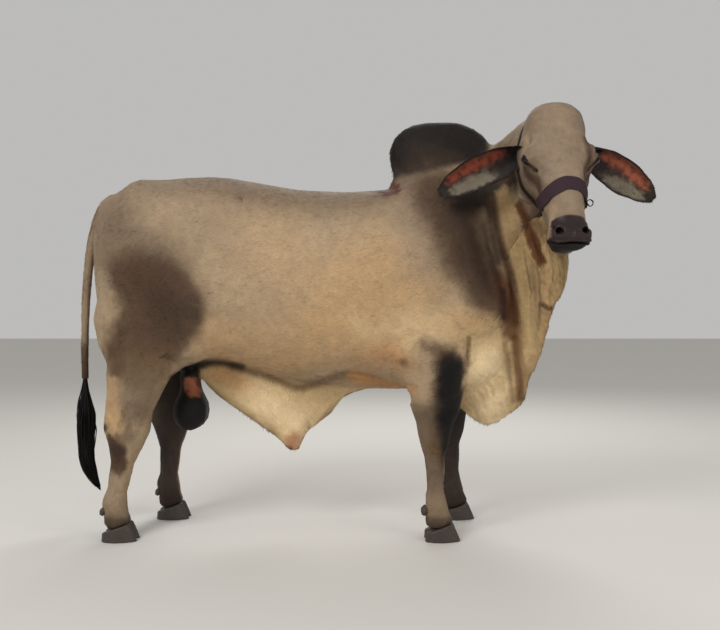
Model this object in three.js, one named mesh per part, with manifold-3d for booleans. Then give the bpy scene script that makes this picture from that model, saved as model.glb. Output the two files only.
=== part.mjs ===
// A grey Brahman bull at life size, standing square with its head turned to its right.
// Millimetres, +Z up, +X towards the chest, +Y towards the bull's left. The hooves stand on z = 0.
// The body is one smooth field of trunk, muscles and bones. Each node's surface is a loft whose
// sections are found by rays from a line inside it, and its ends are cut flat against its neighbours.
import * as THREE from 'three';
import { mergeVertices } from 'three/addons/utils/BufferGeometryUtils.js';
import Module from 'manifold-3d';

const wasm = await Module();
wasm.setup();

// Driving sizes
const GAP = 0.3;
const FORELEG_TOP = 566;
const POLL = new THREE.Vector3(754, -430, 1734);
const FACE_SLOPE = THREE.MathUtils.degToRad(24);
const HEAD_YAW = THREE.MathUtils.degToRad(1);
const HEAD_ROLL = THREE.MathUtils.degToRad(1);
const EYE_RADIUS = 21;
const EYE = { u: 218, v: 126, w: -56 };
const LEFT_STEP = { fore: 104, hind: 140 };
const SIDES = { right: -1, left: 1 };

const COAT = 0xb5a692;
const DARK_COAT = 0x3b322e;
const HORN = 0x2c2826;
const STRAP = 0x2e2230;

const V = (x, y, z) => new THREE.Vector3(x, y, z);
const UP = V(0, 0, 1);

// Small helpers

// A smooth curve through stations that are objects of named numbers, read by the value of one of them
function stationCurve(stations, along) {
  const keys = Object.keys(stations[0]);
  return (at) => {
    const last = stations.length - 1;
    const x = THREE.MathUtils.clamp(at, stations[0][along], stations[last][along]);
    let i = 0;
    while (i < last - 1 && stations[i + 1][along] < x) i += 1;
    const [p, q] = [stations[i], stations[i + 1]];
    const span = q[along] - p[along];
    const t = (x - p[along]) / span;
    const slope = (k, key) => {
      const before = stations[Math.max(k - 1, 0)];
      const after = stations[Math.min(k + 1, last)];
      return (after[key] - before[key]) / (after[along] - before[along]);
    };
    const out = {};
    for (const key of keys) {
      const [m, n] = [slope(i, key) * span, slope(i + 1, key) * span];
      const [a, b] = [p[key], q[key]];
      out[key] = a + m * t + (3 * (b - a) - 2 * m - n) * t * t + (2 * (a - b) + m + n) * t ** 3;
    }
    return out;
  };
}

const ramp = (x, from, to) => THREE.MathUtils.smoothstep(x, from, to);

// Fields: each is a function that is negative inside a form and grows with distance outside it

// An egg of three radii, turned by Euler angles in degrees
function egg(centre, radii, turn = [0, 0, 0]) {
  const euler = new THREE.Euler(...turn.map(THREE.MathUtils.degToRad));
  const back = new THREE.Quaternion().setFromEuler(euler).invert();
  const q = new THREE.Vector3();
  return (p) => {
    q.copy(p).sub(centre).applyQuaternion(back);
    const [a, b, c] = [q.x / radii[0], q.y / radii[1], q.z / radii[2]];
    const near = Math.hypot(a, b, c);
    const steep = Math.hypot(a / radii[0], b / radii[1], c / radii[2]);
    return steep > 0 ? (near * (near - 1)) / steep : -Math.min(...radii);
  };
}

// A tapered limb from a to b; flat squeezes it along y
function limb(a, b, ra, rb, flat = 1) {
  const axis = b.clone().sub(a);
  const length2 = axis.lengthSq();
  const q = new THREE.Vector3();
  return (p) => {
    q.copy(p).sub(a);
    const t = THREE.MathUtils.clamp(q.dot(axis) / length2, 0, 1);
    q.addScaledVector(axis, -t);
    q.y *= flat;
    return q.length() - THREE.MathUtils.lerp(ra, rb, t);
  };
}

// A trunk along a level line: each station has its place, its top, bottom and widest heights,
// and half its width
function trunk(stations, { round = 2.3, nose = 60, tail = 60 } = {}) {
  let length = 0;
  const placed = stations.map((s, i) => {
    if (i) length += Math.hypot(s.x - stations[i - 1].x, s.y - stations[i - 1].y);
    return { ...s, run: length };
  });
  const read = stationCurve(placed, 'run');
  return (p) => {
    let best = { far: Infinity };
    for (let i = 0; i + 1 < placed.length; i += 1) {
      const [a, b] = [placed[i], placed[i + 1]];
      const [dx, dy] = [b.x - a.x, b.y - a.y];
      const span = Math.hypot(dx, dy);
      let along = ((p.x - a.x) * dx + (p.y - a.y) * dy) / span;
      const first = i === 0 ? -Infinity : 0;
      const final = i + 2 === placed.length ? Infinity : span;
      along = THREE.MathUtils.clamp(along, first, final);
      const side = Math.hypot(p.x - a.x - (dx / span) * along, p.y - a.y - (dy / span) * along);
      if (side < best.far) best = { far: side, run: a.run + along };
    }
    const s = read(best.run);
    const beyond = best.run > length ? (best.run - length) / nose : Math.min(best.run, 0) / tail;
    const rise = p.z > s.mid ? (p.z - s.mid) / (s.top - s.mid) : (s.mid - p.z) / (s.mid - s.bottom);
    const shares = [best.far / s.wide, rise, beyond];
    const q = shares.reduce((sum, share) => sum + Math.abs(share) ** round, 0) ** (1 / round);
    return (q - 1) * Math.min(s.wide, (s.top - s.bottom) / 2);
  };
}

// Joins fields with fillets; a form with cut: true is hollowed out instead
function flesh(forms) {
  return (p) => {
    let d = Infinity;
    for (const { form, soft, cut } of forms) {
      const e = cut ? -form(p) : form(p);
      if (d === Infinity) d = e;
      else {
        const h = Math.max(soft - Math.abs(d - e), 0) / soft;
        d = cut ? Math.max(d, e) + (h * h * soft) / 4 : Math.min(d, e) - (h * h * soft) / 4;
      }
    }
    return d;
  };
}

const on = (form, soft = 40) => ({ form, soft });
const off = (form, soft = 25) => ({ form, soft, cut: true });
const pair = (make) => Object.values(SIDES).flatMap(make);

// Surfaces

// The distance from an inside point along a ray to the skin
function toSkin(field, origin, direction, reach) {
  const p = new THREE.Vector3();
  const at = (t) => field(p.copy(origin).addScaledVector(direction, t));
  let [inside, outside] = [0, 0];
  while (outside < reach) {
    const d = at(outside);
    if (d > 0) break;
    inside = outside;
    outside += Math.max(1.5, -d * 0.6);
  }
  outside = Math.min(outside, reach);
  for (let i = 0; i < 14; i += 1) {
    const middle = (inside + outside) / 2;
    if (at(middle) > 0) outside = middle;
    else inside = middle;
  }
  return inside;
}

// A skin through rings of points: each end is drawn to a point, or the last ring joins the first.
// A leaf's rings run out along one face and back along the other, whose triangles are then split alike.
function skin(sections, ends = null, leaf = false) {
  const around = sections[0].length;
  const count = sections.length;
  const points = sections.flat();
  const faces = [];
  const at = (i, j) => (i % count) * around + (j % around);
  for (let i = 0; i < (ends ? count - 1 : count); i += 1) {
    for (let j = 0; j < around; j += 1) {
      const [a, b, c, d] = [at(i, j), at(i, j + 1), at(i + 1, j), at(i + 1, j + 1)];
      const shorter = points[a].distanceToSquared(points[d]) < points[b].distanceToSquared(points[c]);
      const straight = leaf ? j < around / 2 : shorter;
      faces.push(...(straight ? [a, b, d, a, d, c] : [a, b, c, b, d, c]));
    }
  }
  if (ends) {
    const [first, last] = [points.push(ends[0]) - 1, points.push(ends[1]) - 1];
    for (let j = 0; j < around; j += 1) {
      faces.push(first, at(0, j + 1), at(0, j));
      faces.push(last, at(count - 1, j), at(count - 1, j + 1));
    }
  }
  return new THREE.BufferGeometry().setFromPoints(points).setIndex(faces);
}

const middle = (points) => points.reduce((sum, p) => sum.add(p), V(0, 0, 0)).divideScalar(points.length);

// A skin round a path inside a field: rings square to the path, and a fan of rings over each end
function wrap(field, path, { rings, around, fan = 4, flatStart = false, reach = 900, up = UP, even = 1 }) {
  const cast = (origin, ray) => origin.clone().addScaledVector(ray, toSkin(field, origin, ray, reach));
  const ring = (t, tilt) => {
    const origin = path.getPoint(t);
    const forward = path.getTangent(t).normalize();
    const side = new THREE.Vector3().crossVectors(forward, up).normalize();
    const rise = new THREE.Vector3().crossVectors(side, forward);
    return Array.from({ length: around }, (_, j) => {
      const angle = (j / around) * 2 * Math.PI;
      const ray = side.clone().multiplyScalar(Math.cos(angle)).addScaledVector(rise, -Math.sin(angle));
      return cast(origin, ray.multiplyScalar(Math.cos(tilt)).addScaledVector(forward, Math.sin(tilt)));
    });
  };
  const tilts = Array.from({ length: fan }, (_, k) => (Math.PI / 2) * ((k + 1) / (fan + 1)));
  const sections = flatStart ? [] : tilts.toReversed().map((tilt) => ring(0, -tilt));
  const place = (t) => THREE.MathUtils.lerp(THREE.MathUtils.smoothstep(t, 0, 1), t, even);
  for (let i = 0; i <= rings; i += 1) sections.push(ring(place(i / rings), 0));
  sections.push(...tilts.map((tilt) => ring(1, tilt)));
  const start = path.getPoint(0);
  const first = flatStart ? start : cast(start, path.getTangent(0).normalize().negate());
  return skin(sections, [first, cast(path.getPoint(1), path.getTangent(1).normalize())]);
}

// A strap laid on a skin, along the places its rays come out
function strap(reachOf, rays, { width, thick, closed = false, grow = 0 }) {
  const lift = 4.5;
  const line = rays.map(({ from, ray }) => from.clone().addScaledVector(ray, reachOf(from, ray)));
  const sections = rays.map(({ from, ray }, i) => {
    const [before, after] = closed
      ? [line.at(i - 1), line[(i + 1) % line.length]]
      : [line[Math.max(i - 1, 0)], line[Math.min(i + 1, line.length - 1)]];
    const across = new THREE.Vector3().crossVectors(after.clone().sub(before), ray).normalize();
    const corner = (share, high) => {
      const origin = from.clone().addScaledVector(across, share * (width / 2 + grow));
      return origin.clone().addScaledVector(ray, reachOf(origin, ray) + high);
    };
    const [low, high] = [lift - grow, lift + thick + grow];
    const under = [-1, 0, 1].map((share) => corner(share, low));
    return [...under, ...[1, 0, -1].map((share) => corner(share, high))];
  });
  return solid(skin(sections, closed ? null : [middle(sections[0]), middle(sections.at(-1))]));
}

// The distance from inside a solid to where a ray last leaves it
function leaving(made) {
  const target = new THREE.Mesh(geometryOf(made), new THREE.MeshBasicMaterial({ side: THREE.DoubleSide }));
  const caster = new THREE.Raycaster();
  return (origin, ray) => {
    caster.set(origin, ray);
    return caster.intersectObject(target).at(-1).distance;
  };
}

// A manifold solid from any closed geometry, turned right side out.
// Cuts drop edges shorter than the tolerance.
function solid(geometry) {
  const bare = new THREE.BufferGeometry().setAttribute('position', geometry.getAttribute('position'));
  bare.setIndex(geometry.index);
  const merged = mergeVertices(bare, 1e-3);
  const triVerts = new Uint32Array(merged.index.array);
  const shape = { numProp: 3, vertProperties: merged.attributes.position.array, triVerts, tolerance: 0.06 };
  const made = new wasm.Manifold(new wasm.Mesh(shape));
  if (made.volume() > 0) return made;
  for (let i = 0; i < triVerts.length; i += 3) {
    [triVerts[i + 1], triVerts[i + 2]] = [triVerts[i + 2], triVerts[i + 1]];
  }
  return new wasm.Manifold(new wasm.Mesh(shape));
}

// A node keeps only its largest closed surface
function largest(made) {
  return made.decompose().reduce((a, b) => (b.volume() > a.volume() ? b : a));
}

function geometryOf(made) {
  const { vertProperties, triVerts } = made.getMesh();
  const geometry = new THREE.BufferGeometry();
  geometry.setAttribute('position', new THREE.BufferAttribute(new Float32Array(vertProperties), 3));
  geometry.setIndex(new THREE.BufferAttribute(new Uint32Array(triVerts), 1));
  geometry.computeVertexNormals();
  return geometry;
}

// Keeps the side of a plane that its normal points to, half a gap clear of it
const keep = (made, normal, point) => made.trimByPlane(normal.toArray(), normal.dot(point) + GAP / 2);

function block(centre, size) {
  const geometry = new THREE.BoxGeometry(...size);
  geometry.translate(...centre);
  return solid(geometry);
}

// A tapering cord: each station is [x, y, z, half width along the bend, half width across it]
function cord(stations, rows, around) {
  const curve = new THREE.CatmullRomCurve3(stations.map(([x, y, z]) => V(x, y, z)));
  const widths = new THREE.CatmullRomCurve3(stations.map((s) => V(s[3], s[4], 0)));
  const sections = [];
  for (let i = 0; i <= rows; i += 1) {
    const centre = curve.getPoint(i / rows);
    const size = widths.getPoint(i / rows);
    const forward = curve.getTangent(i / rows).normalize();
    const across = new THREE.Vector3().crossVectors(forward, V(1, 0, 0)).normalize();
    const rise = new THREE.Vector3().crossVectors(across, forward);
    const points = [];
    for (let j = 0; j < around; j += 1) {
      const angle = (j / around) * 2 * Math.PI;
      const point = centre.clone().addScaledVector(across, Math.cos(angle) * size.y);
      points.push(point.addScaledVector(rise, -Math.sin(angle) * size.x));
    }
    sections.push(points);
  }
  const end = curve.getTangent(1).normalize().multiplyScalar(stations.at(-1)[3] * 0.6);
  return skin(sections, [curve.getPoint(0), curve.getPoint(1).add(end)]);
}

// A fold of hanging skin. Each rib runs from its root to its edge, fat at the root and thin at the edge;
// ripples run the length of the fold and die out at its two ends.
function drape(ribs, { rows, across, ripple = 0, waves = 3 }) {
  const roots = new THREE.CatmullRomCurve3(ribs.map((r) => V(...r.root)));
  const edges = new THREE.CatmullRomCurve3(ribs.map((r) => V(...r.edge)));
  const sizes = new THREE.CatmullRomCurve3(ribs.map((r) => V(r.fat, r.thin, 0)));
  const sections = [];
  for (let i = 0; i <= rows; i += 1) {
    const t = i / rows;
    const [root, edge, size] = [roots, edges, sizes].map((curve) => curve.getPoint(t));
    const rib = edge.clone().sub(root);
    const run = roots.getTangent(t).add(edges.getTangent(t));
    const side = new THREE.Vector3().crossVectors(run, rib).normalize();
    const half = (f) => THREE.MathUtils.lerp(size.x, size.y, f ** 0.7) * Math.sqrt(1 - f ** 5);
    const swing = ripple * Math.sin(Math.PI * t);
    const sway = (f) => swing * Math.sin(2 * Math.PI * (waves * f + 0.9 * t)) * ramp(f, 0, 0.4);
    const at = (f, s) => root.clone().addScaledVector(rib, f).addScaledVector(side, s * half(f) + sway(f));
    const points = [];
    for (let k = 0; k < across; k += 1) points.push(at((k / across) ** 0.85, 1));
    points.push(at(1, 0));
    for (let k = across - 1; k >= 0; k -= 1) points.push(at((k / across) ** 0.85, -1));
    sections.push(points);
  }
  return skin(sections, [middle(sections[0]), middle(sections.at(-1))]);
}

// The head's own frame: u runs down the face from the poll, v to the left, w out of the forehead
const FACE_OUT = V(0, -Math.cos(FACE_SLOPE), Math.sin(FACE_SLOPE)).applyAxisAngle(UP, HEAD_YAW);
const FACE_LEFT = V(Math.cos(HEAD_YAW), Math.sin(HEAD_YAW), 0).applyAxisAngle(FACE_OUT, HEAD_ROLL);
const FACE_DOWN = new THREE.Vector3().crossVectors(FACE_LEFT, FACE_OUT);
const head = (u, v, w) =>
  POLL.clone().addScaledVector(FACE_DOWN, u).addScaledVector(FACE_LEFT, v).addScaledVector(FACE_OUT, w);

// Turns a field given in the head's frame, as x = u, y = v, z = w, into one in the bull's frame
function inHead(form) {
  const q = new THREE.Vector3();
  const r = new THREE.Vector3();
  return (p) => {
    q.copy(p).sub(POLL);
    return form(r.set(q.dot(FACE_DOWN), q.dot(FACE_LEFT), q.dot(FACE_OUT)));
  };
}

// The trunk and neck, from the tail head to the poll
const midline = [
  { x: -1035, y: 0, top: 1436, bottom: 960, mid: 1220, wide: 118 },
  { x: -950, y: 0, top: 1490, bottom: 860, mid: 1190, wide: 205 },
  { x: -820, y: 0, top: 1492, bottom: 765, mid: 1150, wide: 262 },
  { x: -690, y: 0, top: 1503, bottom: 722, mid: 1110, wide: 285 },
  { x: -560, y: 0, top: 1500, bottom: 700, mid: 1080, wide: 300 },
  { x: -420, y: 0, top: 1476, bottom: 664, mid: 1050, wide: 318 },
  { x: -260, y: 0, top: 1450, bottom: 634, mid: 1030, wide: 334 },
  { x: -80, y: 0, top: 1440, bottom: 612, mid: 1020, wide: 338 },
  { x: 100, y: 0, top: 1450, bottom: 600, mid: 1020, wide: 318 },
  { x: 250, y: 0, top: 1470, bottom: 606, mid: 1040, wide: 282 },
  { x: 390, y: 0, top: 1500, bottom: 650, mid: 1080, wide: 236 },
  { x: 510, y: -8, top: 1558, bottom: 800, mid: 1190, wide: 188 },
  { x: 610, y: -45, top: 1650, bottom: 960, mid: 1290, wide: 148 },
  { x: 690, y: -120, top: 1714, bottom: 1120, mid: 1390, wide: 124 },
  { x: 735, y: -210, top: 1732, bottom: 1260, mid: 1470, wide: 118 },
  { x: 752, y: -310, top: 1730, bottom: 1350, mid: 1520, wide: 112 },
];

// Landmarks of the limbs, for each side: y is the distance from the midline
function foreLandmarks(side, step) {
  const at = (x, y, z, share = 1) => V(x + step * share, side * y, z);
  return {
    blade: at(330, 130, 1400, 0),
    point: at(490, 212, 965, 0.15),
    elbow: at(222, 232, 742, 0.25),
    forearm: at(300, 216, 712, 0.4),
    shin: at(309, 206, 560, 0.8),
    knee: at(302, 198, 438),
    cannon: at(303, 196, 290),
    fetlock: at(306, 196, 142),
    pastern: at(324, 196, 92),
    coronet: at(340, 196, 70),
  };
}

function hindLandmarks(side, step) {
  const at = (x, y, z, share = 1) => V(x + step * share, side * y, z);
  return {
    hook: at(-600, 205, 1352, 0),
    pin: at(-1045, 92, 1345, 0),
    hip: at(-850, 190, 1180, 0.1),
    stifle: at(-700, 226, 822, 0.3),
    thigh: at(-880, 172, 865, 0.25),
    ham: at(-985, 150, 890, 0.25),
    calf: at(-972, 186, 690, 0.5),
    gaskin: at(-908, 204, 650, 0.55),
    hock: at(-945, 196, 448, 0.72),
    heel: at(-1028, 194, 486, 0.72),
    cannon: at(-978, 196, 275, 0.88),
    fetlock: at(-1004, 198, 142),
    pastern: at(-990, 198, 92),
    coronet: at(-974, 198, 70),
  };
}

const fore = {};
const hind = {};
for (const [name, side] of Object.entries(SIDES)) {
  fore[name] = foreLandmarks(side, side > 0 ? LEFT_STEP.fore : 0);
  hind[name] = hindLandmarks(side, side > 0 ? LEFT_STEP.hind : 0);
}

const mix = (a, b, t) => a.clone().lerp(b, t);

function foreForms(name) {
  const m = fore[name];
  const s = SIDES[name];
  return [
    on(limb(m.blade, m.point, 78, 100, 1.15), 90),
    on(limb(mix(m.blade, m.elbow, 0.3), m.elbow, 90, 74, 1.1), 80),
    on(limb(m.point, m.elbow, 92, 78), 60),
    on(limb(m.forearm, m.shin, 112, 97, 1.35), 60),
    on(limb(m.shin, m.knee, 96, 60, 1.2), 40),
    on(limb(m.elbow, m.shin.clone().add(V(-40, 0, 0)), 50, 40), 40),
    on(egg(m.knee.clone().add(V(4, 0, 4)), [68, 60, 76]), 30),
    on(limb(m.knee, m.cannon, 50, 38, 0.95), 24),
    on(limb(m.cannon, m.fetlock, 36, 38, 0.95), 20),
    on(egg(m.fetlock, [48, 47, 46]), 24),
    on(egg(m.fetlock.clone().add(V(-30, 0, -10)), [26, 34, 26]), 16),
    on(limb(m.fetlock, m.coronet, 40, 44), 20),
    on(egg(m.coronet.clone().add(V(-14, 0, -8)), [62, 54, 26], [0, 8, 0]), 14),
    off(egg(m.coronet.clone().add(V(46, 0, -4)), [26, 6, 60]), 12),
    off(egg(mix(m.cannon, m.fetlock, 0.5).add(V(-42, s * -2, 0)), [14, 12, 110]), 14),
  ];
}

function hindForms(name) {
  const m = hind[name];
  return [
    on(egg(m.hook, [120, 50, 62], [0, 10, 0]), 90),
    on(egg(m.pin, [52, 50, 60]), 70),
    on(egg(m.hip, [215, 105, 250], [0, 12, 0]), 90),
    on(limb(mix(m.pin, m.ham, 0.15), m.ham, 74, 96), 70),
    on(limb(m.hip, m.stifle, 130, 92), 80),
    on(egg(m.stifle.clone().add(V(28, 0, 6)), [72, 60, 92]), 60),
    on(egg(m.thigh, [196, 84, 190], [0, 14, 0]), 70),
    on(limb(m.ham, m.calf, 82, 48, 1.15), 60),
    on(limb(m.calf, m.heel, 40, 22, 1.1), 36),
    on(limb(mix(m.stifle, m.gaskin, 0.6).add(V(0, 0, 40)), m.gaskin, 104, 102, 1.2), 60),
    on(limb(m.gaskin, m.hock, 100, 74, 1.25), 50),
    on(egg(m.hock, [84, 58, 84], [0, -12, 0]), 34),
    on(limb(m.heel, mix(m.hock, m.cannon, 0.5).add(V(-16, 0, 0)), 26, 36), 26),
    on(limb(m.hock, m.cannon, 66, 42, 1.05), 30),
    on(limb(m.cannon, m.fetlock, 41, 40, 0.98), 20),
    on(egg(m.fetlock, [50, 48, 46]), 24),
    on(egg(m.fetlock.clone().add(V(-30, 0, -10)), [26, 34, 26]), 16),
    on(limb(m.fetlock, m.coronet, 40, 43), 20),
    on(egg(m.coronet.clone().add(V(-14, 0, -8)), [60, 52, 26], [0, 8, 0]), 14),
    off(egg(m.coronet.clone().add(V(46, 0, -4)), [26, 6, 60]), 12),
  ];
}

// The head, in its own frame
const faceline = [
  { x: 30, y: 0, top: -8, bottom: -190, mid: -95, wide: 98 },
  { x: 90, y: 0, top: 4, bottom: -232, mid: -95, wide: 116 },
  { x: 160, y: 0, top: 8, bottom: -258, mid: -95, wide: 120 },
  { x: 230, y: 0, top: 3, bottom: -262, mid: -90, wide: 112 },
  { x: 300, y: 0, top: -2, bottom: -232, mid: -84, wide: 94 },
  { x: 370, y: 0, top: -3, bottom: -196, mid: -80, wide: 78 },
  { x: 450, y: 0, top: -8, bottom: -170, mid: -78, wide: 68 },
  { x: 520, y: 0, top: -18, bottom: -158, mid: -78, wide: 66 },
];

function headForms() {
  return [
    on(inHead(trunk(faceline, { round: 2.25, nose: 62, tail: 52 })), 50),
    on(inHead(egg(V(40, 0, -68), [66, 92, 64])), 60),
    ...pair((s) => [
      on(inHead(egg(V(206, s * 113, -56), [58, 42, 46], [0, 0, s * -8])), 34),
      on(inHead(limb(V(270, s * 86, -92), V(410, s * 64, -88), 20, 16)), 30),
      on(inHead(egg(V(208, s * 78, -168), [92, 48, 84])), 44),
      on(inHead(limb(V(235, s * 62, -232), V(430, s * 36, -168), 26, 20)), 34),
      on(inHead(egg(V(552, s * 40, -42), [38, 36, 36])), 24),
      on(inHead(egg(V(542 - s * 7, s * 33 - 7, -90), [47, 36, 34])), 22),
      on(inHead(egg(V(140, s * 104, -122), [44, 34, 42])), 30),
      off(inHead(egg(V(292, s * 118, -44), [46, 24, 34])), 34),
      off(inHead(egg(V(150, s * 126, -62), [40, 12, 26])), 30),
    ]),
    on(inHead(egg(V(562, 0, -52), [36, 56, 42])), 26),
    on(inHead(egg(V(528, -14, -140), [54, 46, 32])), 24),
  ];
}

const bodyForms = [
  on(trunk(midline, { round: 2.25, nose: 70, tail: 66 })),
  ...pair((s) => [
    on(egg(V(455, s * 120, 760), [150, 110, 170], [0, 20, 0]), 80),
    on(egg(V(40, s * 262, 1010), [260, 56, 230], [0, 8, 0]), 90),
    on(egg(V(560, s * 98, 1180), [120, 90, 250], [0, -24, 0]), 80),
    on(egg(V(578, s * 84, 985), [92, 92, 190], [0, -14, 0]), 60),
  ]),
  on(egg(V(362, 0, 1560), [209, 92, 178], [0, -14, 0]), 60),
  on(egg(V(262, 0, 1600), [135, 84, 128], [0, 18, 0]), 50),
  ...Object.keys(SIDES).flatMap((name) => [...hindForms(name), ...foreForms(name)]),
  off(egg(V(-1010, 0, 790), [170, 34, 190], [0, -12, 0]), 50),
];

const bodyField = flesh(bodyForms);
const headField = flesh(headForms());
const wholeField = (p) => {
  const [a, b, soft] = [bodyField(p), headField(p), 56];
  const h = Math.max(soft - Math.abs(a - b), 0) / soft;
  return Math.min(a, b) - (h * h * soft) / 4;
};
const grown = (field) => (p) => field(p) - GAP;

// Planes between the nodes: a point on each, and its normal
const NECK_CUT = { point: V(500, 0, 1200), normal: V(0.93, 0, 0.37).normalize() };
const HUMP_CUT = { point: V(104, 0, 1472), normal: V(-0.24, 0, 0.97).normalize() };
const HUMP_FRONT = { point: V(540, 0, 0), normal: V(-1, 0, 0) };
const HEAD_CUT = {
  point: head(118, 0, -214),
  normal: FACE_DOWN.clone().multiplyScalar(0.5).addScaledVector(FACE_OUT, 0.86).normalize(),
};
const HIND_CUT = { point: V(-728, 0, 736), normal: V(0.56, 0, 0.83).normalize() };
const HIND_FRONT = { point: HIND_CUT.point, normal: V(1, 0, 0) };
const beyond = (cut, p) => cut.normal.dot(p) - cut.normal.dot(cut.point);
const flip = (v) => v.clone().negate();

// The torso's field stops a little past each cut, so that its rays end there
const CUT_MARGIN = 80;
function torsoField(p) {
  const fromNeck = beyond(NECK_CUT, p) - CUT_MARGIN;
  const fromHump = p.x > 90 ? beyond(HUMP_CUT, p) - CUT_MARGIN : -Infinity;
  const fromHind = -Math.max(beyond(HIND_CUT, p), beyond(HIND_FRONT, p));
  const fromLegs = p.x < -400 ? fromHind : FORELEG_TOP - p.z;
  return Math.max(bodyField(p), fromNeck, fromHump, fromLegs - CUT_MARGIN);
}

const nodes = {};
const put = (name, made, colour, roughness = 0.85) => {
  nodes[name] = { made: largest(made), colour, roughness };
};

const slopeOf = (normal) => THREE.MathUtils.radToDeg(Math.atan2(normal.x, normal.z));
const humpBox = keep(
  block([700, 0, 300], [1400, 900, 600])
    .rotate([0, slopeOf(HUMP_CUT.normal), 0])
    .translate(HUMP_CUT.point.clone().addScaledVector(HUMP_CUT.normal, -GAP / 2).toArray()),
  HUMP_FRONT.normal,
  HUMP_FRONT.point.clone().addScaledVector(HUMP_FRONT.normal, -GAP),
);
const hindBox = keep(
  block([HIND_FRONT.point.x - 500 + GAP / 2, 0, 0], [1000, 1200, 4000]),
  flip(HIND_CUT.normal),
  HIND_CUT.point.clone().addScaledVector(HIND_CUT.normal, GAP),
);
const foreBox = block([500, 0, FORELEG_TOP - 500 + GAP / 2], [900, 1200, 1000]);
const torsoPath = new THREE.LineCurve3(V(-980, 0, 1085), V(440, 0, 1080));
const torsoUncut = (field) => solid(wrap(field, torsoPath, { rings: 26, around: 38, fan: 4, even: 0.5 }));
let torso = torsoUncut(torsoField).subtract(foreBox).subtract(hindBox).subtract(humpBox);
torso = keep(torso, flip(NECK_CUT.normal), NECK_CUT.point);
put('torso', torso, COAT);

const humpPath = new THREE.LineCurve3(V(235, 0, 1580), V(420, 0, 1590));
const humpRaw = solid(wrap(bodyField, humpPath, { rings: 7, around: 24, fan: 4, reach: 330 }));
const humpTop = keep(humpRaw, HUMP_CUT.normal, HUMP_CUT.point);
put('hump', keep(humpTop, HUMP_FRONT.normal, HUMP_FRONT.point), DARK_COAT);

const neckPath = new THREE.CatmullRomCurve3([
  V(430, 0, 1270),
  V(530, -10, 1340),
  V(625, -65, 1420),
  V(690, -150, 1490),
  V(725, -215, 1530),
]);
const neckUncut = (field) => solid(wrap(field, neckPath, { rings: 11, around: 32, fan: 5, reach: 640 }));
let neck = keep(neckUncut(wholeField), NECK_CUT.normal, NECK_CUT.point);
neck = keep(neck, flip(HEAD_CUT.normal), HEAD_CUT.point).subtract(humpBox);
put('neck', neck, COAT);

const headPath = new THREE.LineCurve3(head(60, 0, -100), head(530, 0, -84));
const headUncut = (field) =>
  solid(wrap(field, headPath, { rings: 22, around: 28, fan: 4, reach: 360, up: FACE_OUT }));

// The eyes, their sockets and the slits between the lids
const eyeBall = (s, grow = 0) => {
  const ball = new THREE.SphereGeometry(EYE_RADIUS + grow, 12, 7);
  ball.rotateZ(-s * Math.PI / 2);
  ball.translate(...head(EYE.u, s * EYE.v, EYE.w).toArray());
  return solid(ball);
};
const inHeadFrame = new THREE.Matrix4().makeBasis(FACE_DOWN, FACE_LEFT, FACE_OUT).setPosition(POLL);
function bead(centre, radii, turn = [0, 0, 0], detail = [12, 6]) {
  const ball = new THREE.SphereGeometry(1, ...detail);
  ball.scale(...radii);
  const euler = new THREE.Euler(...turn.map(THREE.MathUtils.degToRad));
  ball.applyMatrix4(new THREE.Matrix4().makeRotationFromEuler(euler));
  ball.translate(...centre);
  return ball;
}
const headBead = (...form) => solid(bead(...form).applyMatrix4(inHeadFrame));

const mouthLine = [
  [448, -101],
  [500, -107],
  [548, -103],
  [600, -88],
];
function slit(line, halfWidth, thick) {
  const shape = new THREE.Shape();
  const above = line.map(([u, w]) => new THREE.Vector2(u, w + thick / 2));
  const below = line.map(([u, w]) => new THREE.Vector2(u, w - thick / 2)).reverse();
  shape.setFromPoints([...above, ...below]);
  const geometry = new THREE.ExtrudeGeometry(shape, { depth: 2 * halfWidth, bevelEnabled: false });
  geometry.translate(0, 0, -halfWidth);
  const toHead = new THREE.Matrix4().makeBasis(FACE_DOWN, FACE_OUT, FACE_LEFT).setPosition(POLL);
  return geometry.applyMatrix4(toHead);
}

let skull = keep(headUncut(wholeField), HEAD_CUT.normal, HEAD_CUT.point);
const lipPath = new THREE.LineCurve3(head(430, 0, -95), head(550, 0, -95));
const insideLips = solid(
  wrap((p) => headField(p) + 8, lipPath, { rings: 4, around: 14, fan: 2, reach: 200, up: FACE_OUT }),
);
skull = skull.subtract(solid(slit(mouthLine, 100, 5)).subtract(insideLips));
for (const s of Object.values(SIDES)) {
  skull = skull.subtract(eyeBall(s, GAP * 1.5));
  skull = skull.subtract(headBead([EYE.u, s * (EYE.v + 18), EYE.w + 12], [26, 26, 10], [0, 24, s * -14]));
  skull = skull.subtract(headBead([546, s * 50, -14], [22, 11, 20], [0, 24, s * 32]));
  nodes[`eye_${s < 0 ? 'right' : 'left'}`] = { made: eyeBall(s), colour: 0x14100e, roughness: 0.12 };
}
put('head', skull, COAT);

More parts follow.
